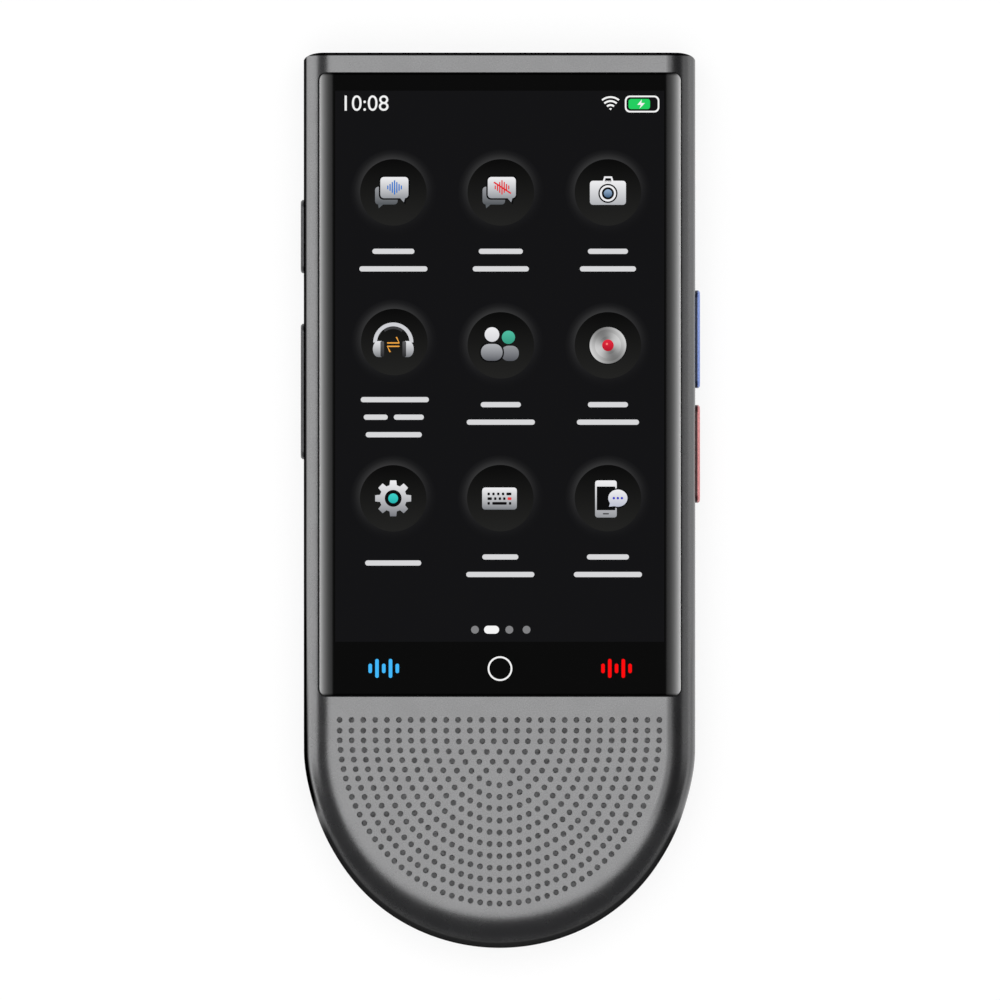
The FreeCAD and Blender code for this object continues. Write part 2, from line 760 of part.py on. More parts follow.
def soft_key_lamps():
    """The light guide, lamps and lamp board behind the three soft keys."""
    strip_y = (OPENING_LOW + LCD_CENTRE - size("lcd_length") / 2) / 2
    guide_base = SENSOR_BASE - size("guide_thickness")
    lamp_base = guide_base - size("lamp_height")
    box("soft_key_light_guide", size("guide_width"), size("guide_length"), size("guide_thickness"),
        0, strip_y, guide_base)
    box("soft_key_led_board", size("lamp_board_width"), size("lamp_board_length"), size("lamp_board_thickness"),
        0, strip_y, lamp_base - size("lamp_board_thickness"))
    lamps = []
    for number, side in enumerate((-1, 0, 1)):
        lamps.append(box("soft_key_led%d" % number, size("lamp_width"), size("lamp_length"),
                         size("lamp_height"), size("soft_key_spacing") * side, strip_y, lamp_base))
    group("soft_key_leds", lamps)


def midframe():
    """The stiff plate between display and boards, with the board's screw posts."""
    body = new_body("midframe")
    sketch = new_sketch(body, "midframe_outline")
    width = (INNER_HALF - size("midframe_gap")) * 2
    draw_rectangle(sketch, width, size("midframe_length"), radius=size("midframe_corner"))
    draw_rectangle(sketch, size("flex_slot_width"), size("flex_slot_length"), y=size("flex_slot_rise"))
    pad(body, sketch, size("midframe_thickness"))
    posts = new_sketch(body, "midframe_posts")
    for x, y in board_screw_places():
        draw_rectangle(posts, size("post_side"), size("post_side"), x, y - MIDFRAME_CENTRE)
    pad(body, posts, MIDFRAME_BASE - BOARD_TOP, reverse=True)
    pilots = new_sketch(body, "midframe_pilots")
    for x, y in board_screw_places():
        draw_octagon(pilots, size("screw_radius") + size("window_gap"), x, y - MIDFRAME_CENTRE)
    pocket(body, pilots, MIDFRAME_BASE - BOARD_TOP)
    place(body, 0, MIDFRAME_CENTRE, MIDFRAME_BASE)


def board_screw_places():
    """Where the main board is screwed to the midframe."""
    reach_x = size("board_width") / 2 - size("screw_inset")
    reach_y = size("board_length") / 2 - size("screw_inset")
    return [(reach_x * sx, BOARD_CENTRE + reach_y * sy) for sx in (-1, 1) for sy in (-1, 1)]


def boards():
    """The two circuit boards, their chips and shields, and the flexes that join them."""
    holes = [(x, y - BOARD_CENTRE, size("screw_radius") + size("fit_gap")) for x, y in board_screw_places()]
    base = size("board_base")
    plate("main_board", size("board_width"), size("board_length"), size("board_thickness"),
          0, BOARD_CENTRE, base, radius=size("board_corner"), holes=holes)
    screws = []
    head_height = size("screw_head_height")
    for number, (x, y) in enumerate(board_screw_places()):
        head_base = base - head_height
        shank = stud("screw_shank%d" % number, size("screw_radius"), size("screw_length"), x, y, head_base)
        head = stud("screw_head%d" % number, size("screw_head_radius"), head_height, x, y, head_base)
        screws.append(joined("board_screw%d" % number, [shank, head]))
    group("board_screws", screws)
    for label in ("processor_chip", "memory_chip", "battery_connector", "vibration_motor"):
        board_block(label)
    shield("processor_shield")
    shield("radio_shield")
    plate("sub_board", size("sub_board_width"), size("sub_board_length"), size("sub_board_thickness"),
          0, SUB_BOARD_CENTRE, SUB_BOARD_BASE)
    board_flex()
    display_flex()


def board_block(label, name=None, shrink=0, lift=0):
    """A block under the main board's rear face, drawn in by shrink and raised by lift."""
    name = name or label
    height = size(name + "_height")
    return box(label, size(name + "_width") - shrink, size(name + "_length") - shrink, height,
               size(name + "_x"), BOARD_CENTRE + size(name + "_y"), size("board_base") - height + lift)


def shield(label):
    """A thin metal can over chips on the board's rear face."""
    outer = board_block(label + "_outer", label)
    inner = board_block(label + "_inner", label, size("shield_wall") * 2, size("shield_wall"))
    less(label, outer, [inner])


def strip(label, width, points, x):
    """A folded flat strip: a closed profile in the YZ plane, drawn out along X."""
    body = new_body(label)
    sketch = new_sketch(body, label + "_profile", plane="YZ_Plane")
    draw_loop(sketch, points, {})
    pad(body, sketch, width)
    place(body, term(x) - term(width) / 2, 0, 0)


def board_flex():
    """The flat cable that passes under the battery between the boards."""
    thin, foot = size("flex_thickness"), size("flex_foot")
    low = size("back_wall") + size("flex_rise")
    start = SUB_BOARD_CENTRE + size("sub_board_length") / 2 - foot
    end = BOARD_CENTRE - size("board_length") / 2 + foot
    base = size("board_base")
    points = [
        (start, low), (end, low), (end, base), (end - thin, base),
        (end - thin, low + thin), (start + thin, low + thin),
        (start + thin, SUB_BOARD_BASE), (start, SUB_BOARD_BASE),
    ]
    strip("board_flex", size("board_flex_width"), points, size("board_flex_x"))


def display_flex():
    """The short cable from the display through the midframe to the main board."""
    thin, foot = size("flex_thickness"), size("flex_foot")
    y = MIDFRAME_CENTRE + size("display_flex_rise")
    top = BACKLIGHT_BASE
    points = [
        (y - foot, BOARD_TOP), (y + thin, BOARD_TOP), (y + thin, top - thin), (y + foot, top - thin),
        (y + foot, top), (y, top), (y, BOARD_TOP + thin), (y - foot, BOARD_TOP + thin),
    ]
    strip("display_flex", size("display_flex_width"), points, 0)


def battery():
    """The pouch cell, its tape and its lead."""
    tape_base = MIDFRAME_BASE - size("tape_thickness")
    inset = size("tape_inset") * 2
    plate("battery_cell", size("battery_width"), size("battery_length"), size("battery_thickness"),
          0, BATTERY_CENTRE, tape_base - size("battery_thickness"), radius=size("battery_corner"))
    plate("battery_tape", size("battery_width") - inset, size("battery_length") - inset,
          size("tape_thickness"), 0, BATTERY_CENTRE, tape_base)
    edge = BATTERY_CENTRE + size("battery_length") / 2
    connector = BOARD_CENTRE + size("battery_connector_y") - size("battery_connector_length") / 2
    reach = connector - edge
    lead_base = size("board_base") - size("lead_thickness") * 3
    box("battery_lead", size("battery_connector_width") - 2, reach, size("lead_thickness"),
        size("battery_connector_x"), edge + reach / 2, lead_base)


def loudspeaker():
    """The loudspeaker behind the grille, with its mesh and seal."""
    y = SPEAKER_CENTRE
    width, length = size("speaker_width"), size("speaker_length")
    two_walls = size("speaker_wall") * 2
    inner_w, inner_l = width - two_walls, length - two_walls
    corner = size("speaker_corner")
    inner_corner = corner - size("speaker_wall")
    seal_base = CHIN_BASE - size("mesh_thickness") - size("seal_thickness")
    base = seal_base - size("speaker_depth")
    frame = new_body("loudspeaker_frame")
    outline = new_sketch(frame, "speaker_outline")
    draw_rectangle(outline, width, length, radius=corner)
    pad(frame, outline, size("speaker_depth"))
    bowl = new_sketch(frame, "speaker_bowl", size("speaker_depth"))
    draw_rectangle(bowl, inner_w, inner_l, radius=inner_corner)
    pocket(frame, bowl, size("speaker_depth") - size("speaker_floor"))
    place(frame, 0, y, base)
    box("speaker_magnet", size("magnet_width"), size("magnet_length"), size("magnet_height"),
        0, y, base + size("speaker_floor"))
    gasket = new_body("speaker_gasket")
    seal = new_sketch(gasket, "gasket_outline")
    draw_rectangle(seal, width, length, radius=corner)
    draw_rectangle(seal, inner_w, inner_l, radius=inner_corner)
    pad(gasket, seal, size("seal_thickness"))
    place(gasket, 0, y, seal_base)
    speaker_cone(inner_w, inner_l, inner_corner, seal_base - size("cone_drop"))
    mesh = new_body("grille_mesh")
    screen = new_sketch(mesh, "mesh_outline")
    draw_tongue(screen, OPENING_WIDTH / 2 - size("midframe_gap"), ROUND_CENTRE, CHIN_TOP - size("midframe_gap"))
    pad(mesh, screen, size("mesh_thickness"))
    place(mesh, 0, 0, CHIN_BASE - size("mesh_thickness"))
    front_edge = y - length / 2 + size("contact_inset")
    contacts = []
    for number, side in enumerate((-1, 1)):
        contacts.append(box("speaker_contact%d" % number, size("contact_width"), size("contact_length"),
                            base - SUB_BOARD_TOP, size("contact_spacing") * side, front_edge, SUB_BOARD_TOP))
    group("speaker_contacts", contacts)


def speaker_cone(inner_w, inner_l, corner, level):
    """The moving diaphragm with its coil, and the soft surround that carries it."""
    cone_w = inner_w - size("surround_side") * 2
    cone_l = inner_l - size("surround_end") * 2
    gap, wall = size("coil_gap") * 2, size("coil_wall") * 2
    coil_w, coil_l = size("magnet_width") + gap, size("magnet_length") + gap
    diaphragm = new_body("speaker_diaphragm")
    cone = new_sketch(diaphragm, "diaphragm_outline")
    draw_rectangle(cone, cone_w, cone_l, radius=size("cone_corner"))
    pad(diaphragm, cone, size("cone_thickness"))
    ring = new_sketch(diaphragm, "voice_coil")
    draw_rectangle(ring, coil_w + wall, coil_l + wall)
    draw_rectangle(ring, coil_w, coil_l)
    pad(diaphragm, ring, size("coil_length"), reverse=True)
    place(diaphragm, 0, SPEAKER_CENTRE, level)
    surround = new_body("speaker_surround")
    edge = new_sketch(surround, "surround_outline")
    draw_rectangle(edge, inner_w, inner_l, radius=corner)
    draw_rectangle(edge, cone_w, cone_l, radius=size("cone_corner"))
    pad(surround, edge, size("cone_thickness"))
    place(surround, 0, SPEAKER_CENTRE, level)


def usb_port():
    """The charging socket: a metal shell with a contact tongue."""
    shell = new_body("usb_shell")
    outline = new_sketch(shell, "usb_outline")
    draw_stadium(outline, size("usb_height"), size("usb_width"))
    pad(shell, outline, size("usb_length"))
    hollow = new_sketch(shell, "usb_hollow", size("usb_length"))
    two_walls = size("usb_wall") * 2
    draw_stadium(hollow, size("usb_height") - two_walls, size("usb_width") - two_walls)
    pocket(shell, hollow, size("usb_length") - size("usb_back"))
    back = size("usb_length") - USB_MOUTH
    place(shell, 0, back, size("usb_level"), LYING_SLOT)
    reach, thick = size("usb_tongue_length"), size("usb_tongue_thickness")
    box("usb_tongue", size("usb_tongue_width"), reach, thick,
        0, back - size("usb_back") - reach / 2, size("usb_level") - thick / 2)


def microphones():
    """The two microphones and the rubber boots that carry sound to them."""
    half = size("microphone_depth") / 2
    microphone("lower_microphone", LOWER_BOOT + half, LOWER_BOOT, SUB_BOARD_TOP, TOWARDS_BOTTOM)
    microphone("upper_microphone", UPPER_BOOT - half, UPPER_BOOT, BOARD_TOP, TOWARDS_TOP)


def microphone(name, y, boot_y, base, turn):
    """One microphone on its board, with its boot reaching to the end wall."""
    x, level = size(name + "_x"), size(name + "_level")
    end = "lower" if turn is TOWARDS_BOTTOM else "upper"
    box(name, size("microphone_width"), size("microphone_depth"), size(name + "_height"), x, y, base)
    radius, length = size(end + "_boot_radius"), size(end + "_boot_length")
    outer = stud(end + "_boot_outer", radius, length, x, boot_y, level, turn)
    inner = stud(end + "_boot_inner", size("microphone_bore") - size("boot_gap"), 3, x, boot_y, level, turn)
    less(name + "_boot", outer, [inner])


def rear_camera():
    """The camera and flash that look out through the back."""
    x, y = CAMERA_X, CAMERA_Y
    base, wall = size("board_base"), size("back_wall")
    side, low = size("camera_side"), size("camera_base")
    block = box("camera_block", side, side, base - low, x, y, low)
    barrel_base = size("camera_barrel_base")
    barrel = stud("camera_barrel", size("camera_barrel_radius"), low - barrel_base + 0.1, x, y, barrel_base)
    joined("camera_module", [block, barrel])
    ring = rod("ring_outer", size("camera_ring_radius"), wall, x, y, 0)
    bore = rod("ring_bore", size("camera_window_radius"), 4, x, y, -1)
    less("camera_ring", ring, [bore])
    rod("camera_window", size("camera_window_radius") - size("window_gap"), size("camera_window_thickness"),
        x, y, size("camera_window_depth"))
    rod("flash_window", size("flash_radius"), wall, x, FLASH_Y, 0)
    lamp_base = wall + size("flash_led_gap")
    riser_base = lamp_base + size("flash_led_height")
    box("flash_led", size("flash_led_side"), size("flash_led_side"), size("flash_led_height"),
        x, FLASH_Y, lamp_base)
    box("flash_riser", size("flash_riser_side"), size("flash_riser_side"), base - riser_base,
        x, FLASH_Y, riser_base)
    antenna_y = TOP_END - size("top_wall") - size("midframe_gap")
    plate("wifi_antenna", size("antenna_width"), size("antenna_thickness"), size("antenna_height"),
          size("antenna_x"), antenna_y, size("antenna_base"))


def side_key(label, length, y, side, proud, gap, flange_length, nubs, rocks=False):
    """A side key: its cap, the flange that keeps it in, and the nubs that press the domes."""
    body = new_body(label)
    base = -size("wall") - gap
    cap = new_sketch(body, label + "_cap", base)
    draw_stadium(cap, size("key_height"), length)
    pad(body, cap, term(proud) - base)
    ease(body, "Chamfer", size("key_chamfer"), lambda edge: abs(edge.BoundBox.ZMin - proud.value) < 1e-4)
    flange = new_sketch(body, label + "_flange", base)
    draw_rectangle(flange, size("flange_height"), flange_length)
    pad(body, flange, size("flange_thickness"), reverse=True)
    stem = new_sketch(body, label + "_nubs", base)
    for place_y in nubs:
        draw_octagon(stem, size("nub_radius"), 0, place_y)
    pad(body, stem, size("flange_thickness") + size("nub_length") + size("flange_gap") - gap, reverse=True)
    if rocks:
        rib = new_sketch(body, label + "_pivot", size("flange_height") / -2, "YZ_Plane")
        draw_circle(rib, size("pivot_radius"), 0, -size("pivot_depth"))
        pad(body, rib, size("flange_height"))
    place(body, HALF_WIDTH * side, y, size("key_level"), TURN_RIGHT if side > 0 else TURN_LEFT)


def dome(label, y, side):
    """A click dome, as a low eight-sided disc standing on the key flex."""
    height = size("dome_height")
    turn = TURN_RIGHT if side > 0 else TURN_LEFT
    return stud(label, size("dome_radius"), height, (DOME_TOP - height) * side, y, size("key_level"), turn)


def key_support(name, y_low, y_high, side):
    """The flex and bracket that carry the domes of one side."""
    length = term(y_high) - term(y_low)
    middle = (term(y_high) + term(y_low)) / 2
    thin, thick = size("flex_thickness"), size("bracket_thickness")
    face = DOME_TOP - size("dome_height")
    height, foot = size("key_flex_height"), size("bracket_foot")
    flex_x = (face - thin / 2) * side
    box(name + "_key_flex", thin, length, height, flex_x, middle, size("key_level") - height / 2)
    bracket_x = (face - thin - thick / 2) * side
    box(name + "_key_bracket", thick, length + 1, MIDFRAME_BASE - foot, bracket_x, middle, foot)


def side_keys():
    """The four keys with what they press on."""
    gap, reach = size("flange_gap"), size("flange_reach") * 2
    left, right = size("left_key_proud"), size("right_key_proud")
    power, volume, talk = size("power_length"), size("volume_length"), size("talk_length")
    side_key("power_button", power, POWER_CENTRE, -1, left, gap, power + reach, (0,))
    rocker_reach = volume / 2 - size("rocker_nub_inset")
    side_key("volume_button", volume, VOLUME_CENTRE, -1, left, size("rocker_gap"),
             size("rocker_flange"), (rocker_reach, -rocker_reach), rocks=True)
    side_key("blue_talk_button", talk, BLUE_CENTRE, 1, right, gap, talk + reach, (0,))
    side_key("red_talk_button", talk, RED_CENTRE, 1, right, gap, talk + reach, (0,))
    dome("power_dome", POWER_CENTRE, -1)
    domes = [dome("volume_dome%d" % number, VOLUME_CENTRE + rocker_reach * way, -1)
             for number, way in enumerate((1, -1))]
    group("volume_domes", domes)
    dome("blue_dome", BLUE_CENTRE, 1)
    dome("red_dome", RED_CENTRE, 1)
    key_support("left", VOLUME_CENTRE - volume / 2, POWER_CENTRE + power / 2, -1)
    key_support("right", RED_CENTRE - talk / 2, BLUE_CENTRE + talk / 2, 1)


NODES = [
    "front_housing", "rear_cover", "touch_glass", "display_adhesive", "touch_sensor", "lcd_panel",
    "lcd_backlight", "soft_key_light_guide", "soft_key_led_board", "soft_key_leds", "display_flex",
    "midframe", "main_board", "board_screws", "processor_chip", "memory_chip", "processor_shield",
    "radio_shield", "battery_connector", "vibration_motor", "sub_board", "board_flex", "battery_cell",
    "battery_tape", "battery_lead", "loudspeaker_frame", "speaker_magnet", "speaker_diaphragm",
    "speaker_surround", "speaker_gasket", "grille_mesh", "speaker_contacts", "usb_shell", "usb_tongue",
    "lower_microphone", "lower_microphone_boot", "upper_microphone", "upper_microphone_boot",
    "camera_module", "camera_ring", "camera_window", "flash_window", "flash_led", "flash_riser",
    "wifi_antenna", "power_button", "volume_button", "blue_talk_button", "red_talk_button",
    "power_dome", "volume_domes", "blue_dome", "red_dome", "left_key_flex", "left_key_bracket",
    "right_key_flex", "right_key_bracket",
]


def main():
    front_housing()
    rear_cover()
    touch_glass()
    display_stack()
    midframe()
    boards()
    battery()
    loudspeaker()
    usb_port()
    microphones()
    rear_camera()
    side_keys()
    doc.recompute()
    for item in doc.Objects:
        if "Invalid" in item.State or "Error" in item.State:
            raise RuntimeError("bad state: %s %s" % (item.Label, item.State))
    for label in NODES:
        found = doc.getObjectsByLabel(label)
        if not found:
            raise RuntimeError("no piece called " + label)
        shape = found[0].Shape
        if shape.isNull() or not shape.isValid() or not shape.Solids:
            raise RuntimeError("bad shape: " + label)
        shape.exportStep("parts/%s.step" % label)
        print(label, len(shape.Solids), round(shape.Volume, 2))


main()
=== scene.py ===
import math

import bpy
import numpy as np
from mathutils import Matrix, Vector, geometry


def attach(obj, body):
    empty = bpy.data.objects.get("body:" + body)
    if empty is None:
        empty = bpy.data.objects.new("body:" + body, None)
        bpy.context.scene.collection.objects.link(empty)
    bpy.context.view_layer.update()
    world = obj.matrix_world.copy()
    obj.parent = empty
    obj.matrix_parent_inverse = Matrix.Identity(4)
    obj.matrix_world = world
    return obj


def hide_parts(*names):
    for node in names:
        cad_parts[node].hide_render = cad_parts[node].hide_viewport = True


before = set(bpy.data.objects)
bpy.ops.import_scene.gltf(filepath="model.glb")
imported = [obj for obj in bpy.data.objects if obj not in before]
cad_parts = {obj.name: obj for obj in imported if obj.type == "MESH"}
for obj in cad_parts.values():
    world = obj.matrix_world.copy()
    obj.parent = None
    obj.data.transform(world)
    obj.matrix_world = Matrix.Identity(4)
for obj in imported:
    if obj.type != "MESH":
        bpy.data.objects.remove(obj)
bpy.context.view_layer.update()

# Sizes in millimetres, in the part's own frame.
MM = 0.001
HALF = 30.85
TOP = 70.5
LOW = -70.5
ARC_CENTRE = LOW + HALF
FRONT = 12.5
PARTING = 4.0
CORNER_RUN = 3.1
CORNER_DROP = 1.25
TOP_EASE = 0.32
SEAM_EASE = 0.12

# The rolled rims: how deep they are, and how far in they reach at the sides and at the lower end.
FRONT_ROLL = 4.0
FRONT_SIDE_ROLL = 4.7
FRONT_END_ROLL = 6.1
REAR_ROLL = 3.5

GLASS_TOP = 12.64
GLASS_FOOT = 11.2
GLASS_HALF = 28.5
GLASS_LOW = -30.75
GLASS_HIGH = 67.35
GLASS_MIDDLE = 18.3
GLASS_CORNER = 1.2
GLASS_CURVE_RUN = 2.4
GLASS_CURVE_DROP = 0.75
GLASS_EASE = 0.5
GLASS_GAP_LEFT = 0.19
GLASS_GAP_RIGHT = -0.01
GLASS_GAP_END = 0.04

SEAT_GAP = 0.1
SEAT_MORE_RIGHT = 0.1
SEAT_LESS_TOP = 0.05
SEAT_CORNER = 1.3
SEAT_FLOOR = 11.06
LEDGE = (-27.2, -29.0, 27.2, 66.3)
LEDGE_CORNER = 1.0

CHIN_TOP = -30
HOLE_RADIUS = 0.41
HOLE_RIM = 0.07
HOLE_SIDES = 20
HOLE_EASE = 0.05
PLATE_UNDER = 11.32

# Slots of the keys: side of the body, place along it and length.
KEY_SLOTS = ((-HALF, 41.7, 11.8), (-HALF, 17.25, 21.6), (HALF, 25.5, 15.65), (HALF, 7.4, 15.65))
KEY_LEVEL = 6.25
KEY_SLOT_HEIGHT = 3.0
SLOT_DEPTH = 1.55
# The charging socket: level, width and height. The microphone holes: place across and level.
SOCKET = (6.4, 9.14, 3.4)
LOWER_MICROPHONE = (8.0, 6.2)
UPPER_MICROPHONE = (10.0, 7.95)
MICROPHONE_RADIUS = 0.5

# Round ports in the back, for the camera and the flash: centre, radius and number of sides.
PORTS = ((-17.0, 57.0, 5.3, 48), (-17.0, 45.5, 1.8, 28))
PORT_DEPTH = 1.4

# The lower curve is drawn in by this much, between these distances below the middle.
DRAW = 0.42
DRAW_STARTS = (38.5, 49.0)
DRAW_ENDS = (54.0, 68.5)

# Painted shade in the housing's tints, in place of dark reflections and shade: dark rim bands and edge
# lines, dark hole bores, a dark glass seat and a side wall darker toward the lower end. Each pair says
# where one starts and where it is full.
LOW_BAND = (46.0, 53.0)
LOW_BAND_REACH = (0.13, 0.27)
LOW_BAND_DEPTH = 0.91
LOW_EDGE_REACH = (0.1, 0.68)
EDGE_LINE = (0.30, 0.59)
EDGE_LINE_WIDENS = (10.0, 48.0)
TOP_LINE = (0.42, 0.52)
HOLE_SHADE = 0.16
SEAT_SHADE = 0.1
WALL_SHADE = 0.85
WALL_SHADE_FALL = 0.45
WALL_FALLS = (40, 60)

# The screen's layout was measured on the photograph's 1000 pixel frame.
PIXEL = 0.1576
CENTRE_X = 499.5
CENTRE_Y = 499.9
AIM_X = 500
AIM_Y = 499.15
AIM_HEIGHT = 9.0
SCREEN_GAP = 0.008
LAYER_STEP = 0.0085


def linear(*srgb):
    """Screen colour 0 to 255 as linear colour."""
    out = []
    for value in srgb:
        c = value / 255.0
        out.append(c / 12.92 if c <= 0.04045 else ((c + 0.055) / 1.055) ** 2.4)
    return tuple(out)


def new_material(name):
    """A node material and its parts."""
    mat = bpy.data.materials.new(name)
    mat.use_nodes = True
    return mat, mat.node_tree.nodes, mat.node_tree.links, mat.node_tree.nodes["Principled BSDF"]


def set_inputs(node, **values):
    """Set a node's inputs by name, with underscores for spaces."""
    for name, value in values.items():
        node.inputs[name.replace("_", " ")].default_value = value


def multiply(nodes, links, first, second):
    """The product of two colours."""
    mix = nodes.new("ShaderNodeMix")
    mix.data_type = "RGBA"
    mix.blend_type = "MULTIPLY"
    mix.inputs[0].default_value = 1.0
    links.new(first, mix.inputs[6])
    links.new(second, mix.inputs[7])
    return mix.outputs[2]


def math_node(nodes, links, operation, first, second):
    """The result of a maths node on two sockets, or on a socket and a number."""
    node = nodes.new("ShaderNodeMath")
    node.operation = operation
    links.new(first, node.inputs[0])
    if isinstance(second, float):
        node.inputs[1].default_value = second
    else:
        links.new(second, node.inputs[1])
    return node.outputs["Value"]


def between_colors(nodes, links, value, low, high):
    """A blend of two colours, each given with the value where it is full."""
    blend = nodes.new("ShaderNodeValToRGB")
    for element, (position, color) in zip(blend.color_ramp.elements, (low, high)):
        element.position = position
        element.color = tuple(color) + (1,)
    links.new(value, blend.inputs["Fac"])
    return blend.outputs["Color"]


def stretched(nodes, links, value, start, stop, first, last):
    """A value spread from one range to another."""
    node = nodes.new("ShaderNodeMapRange")
    set_inputs(node, From_Min=start, From_Max=stop, To_Min=first, To_Max=last)
    links.new(value, node.inputs["Value"])
    return node.outputs["Result"]


def surface(name, color, metallic=0.0, rough=0.5, grain=900.0, vary=0.12, bump=0.04, stretch=(1, 1, 1),
            coat=0.0, rough_vary=0.08, shaded=False, slot_shade=None):
    """A procedural finish: colour drift, uneven roughness and a fine bump in object space.

    A finish with painted shade is multiplied by the piece's own tints, which hold the painted shade. The
    last argument paints a shadow at a key's foot, where it enters its slot: it darkens what lies nearer to
    the middle than its first distance, and ends at its second one.
    """
    mat, nodes, links, shader = new_material(name)
    coords = nodes.new("ShaderNodeTexCoord")
    mapping = nodes.new("ShaderNodeMapping")
    set_inputs(mapping, Scale=stretch)
    links.new(coords.outputs["Object"], mapping.inputs["Vector"])
    fine = nodes.new("ShaderNodeTexNoise")
    set_inputs(fine, Scale=grain, Detail=4)
    links.new(mapping.outputs["Vector"], fine.inputs["Vector"])
    broad = nodes.new("ShaderNodeTexNoise")
    set_inputs(broad, Scale=grain * 0.05)
    links.new(mapping.outputs["Vector"], broad.inputs["Vector"])
    low = [c * (1 - vary) for c in color]
    high = [min(1, c * (1 + vary)) for c in color]
    color_out = between_colors(nodes, links, fine.outputs["Fac"], (0.3, low), (0.7, high))
    if shaded:
        shade = nodes.new("ShaderNodeVertexColor")
        shade.layer_name = "tint"
        color_out = multiply(nodes, links, color_out, shade.outputs["Color"])
        # The painted shade also darkens the specular tint, so the shaded rim keeps no bright grazing
        # reflection.
        links.new(shade.outputs["Color"], shader.inputs["Specular Tint"])
    # Painted shadow of the slot gap: the part of a key nearest the body is darkened.
    if slot_shade:
        start, stop, dark = slot_shade
        parts = nodes.new("ShaderNodeSeparateXYZ")
        links.new(coords.outputs["Object"], parts.inputs["Vector"])
        away = stretched(nodes, links, parts.outputs["X"], start * MM, stop * MM, dark, 1.0)
        color_out = multiply(nodes, links, color_out, away)
    links.new(color_out, shader.inputs["Base Color"])
    rough_low, rough_high = max(0.02, rough - rough_vary), min(1, rough + rough_vary)
    spread = stretched(nodes, links, broad.outputs["Fac"], 0.3, 0.7, rough_low, rough_high)
    links.new(spread, shader.inputs["Roughness"])
    lump = nodes.new("ShaderNodeBump")
    set_inputs(lump, Strength=bump, Distance=0.00005)
    links.new(fine.outputs["Fac"], lump.inputs["Height"])
    links.new(lump.outputs["Normal"], shader.inputs["Normal"])
    set_inputs(shader, Metallic=metallic, Coat_Weight=coat)
    return mat


def woven(name, color, pitch):
    """Fine woven wire: two crossed waves for the wires and gaps."""
    mat, nodes, links, shader = new_material(name)
    coords = nodes.new("ShaderNodeTexCoord")
    heights = []
    for direction in ("X", "Y"):
        wave = nodes.new("ShaderNodeTexWave")
        wave.bands_direction = direction
        set_inputs(wave, Scale=0.314 / pitch)
        links.new(coords.outputs["Object"], wave.inputs["Vector"])
        heights.append(wave.outputs["Fac"])
    top = math_node(nodes, links, "MAXIMUM", *heights)
    wires = between_colors(nodes, links, top, (0.25, (0.01, 0.01, 0.01)), (0.8, color))
    links.new(wires, shader.inputs["Base Color"])
    bump = nodes.new("ShaderNodeBump")
    set_inputs(bump, Strength=0.5, Distance=0.00004)
    links.new(top, bump.inputs["Height"])
    links.new(bump.outputs["Normal"], shader.inputs["Normal"])
    set_inputs(shader, Metallic=0.6, Roughness=0.45)
    return mat


def tinted(name, rough, specular, glow=True):
    """A finish whose colour, or whose glow, is stored in the piece's own corners."""
    mat, nodes, links, shader = new_material(name)
    tint = nodes.new("ShaderNodeVertexColor")
    tint.layer_name = "tint"
    if glow:
        set_inputs(shader, Base_Color=(0.0004, 0.0004, 0.0004, 1), Emission_Strength=1.0)
        links.new(tint.outputs["Color"], shader.inputs["Emission Color"])
    else:
        links.new(tint.outputs["Color"], shader.inputs["Base Color"])
    set_inputs(shader, Roughness=rough, Specular_IOR_Level=specular)
    return mat


# Painted shadow at the foot of the blue and red keys, where they enter their slots: darkest up to the first
# distance across, gone by the second, in millimetres, and its darkest factor.
KEY_SLOT_SHADE = (31.18, 31.3, 0.06)
# The housing paint takes painted shade from the housing's tints: dark rim bands, edge lines, hole bores,
# glass seat and lower wall.
PAINT = surface("gunmetal_paint", (0.300, 0.300, 0.303), metallic=1.0, rough=0.27, grain=5200, vary=0.10,
                bump=0.05, rough_vary=0.02, shaded=True)
REAR_PAINT = surface("gunmetal_rear", (0.27, 0.27, 0.275), metallic=1.0, rough=0.33, grain=5200, vary=0.10,
                     bump=0.06, rough_vary=0.03)
# The black glass takes its colour from the glass's tints, which add a painted highlight along its curved
# edges.
GLASS = tinted("black_glass", rough=0.08, specular=0.028, glow=False)
SCREEN = tinted("lit_screen", rough=0.08, specular=0.02)
KEY = surface("key_dark", (0.105, 0.105, 0.108), metallic=0.7, rough=0.32, grain=4200, vary=0.15)
BLUE = surface("key_blue", (0.22, 0.31, 0.68), metallic=0.35, rough=0.30, grain=4200, vary=0.10,
               slot_shade=KEY_SLOT_SHADE)
RED = surface("key_red", (0.70, 0.26, 0.26), metallic=0.35, rough=0.30, grain=4200, vary=0.10,
              slot_shade=KEY_SLOT_SHADE)
MESH = woven("woven_mesh", (0.42, 0.42, 0.43), 0.00018)
STEEL = surface("socket_steel", (0.55, 0.55, 0.56), metallic=1.0, rough=0.3, grain=1500, stretch=(1, 8, 8))
SHIELD = surface("tinned_shield", (0.62, 0.62, 0.61), metallic=1.0, rough=0.42, grain=900, vary=0.1)
FRAME = surface("cast_alloy", (0.56, 0.57, 0.58), metallic=1.0, rough=0.5, grain=1400, vary=0.12, bump=0.2)
BOARD = surface("board_mask", (0.008, 0.07, 0.035), rough=0.3, grain=700, vary=0.35, bump=0.08, coat=0.3)
CHIP = surface("moulded_chip", (0.02, 0.02, 0.021), rough=0.55, grain=2500, vary=0.2, bump=0.12)
AMBER = surface("amber_film", (0.36, 0.15, 0.025), rough=0.28, grain=600, vary=0.2, coat=0.4)
POUCH = surface("pouch_foil", (0.60, 0.61, 0.62), metallic=0.9, rough=0.38, grain=260, vary=0.08, bump=0.3)
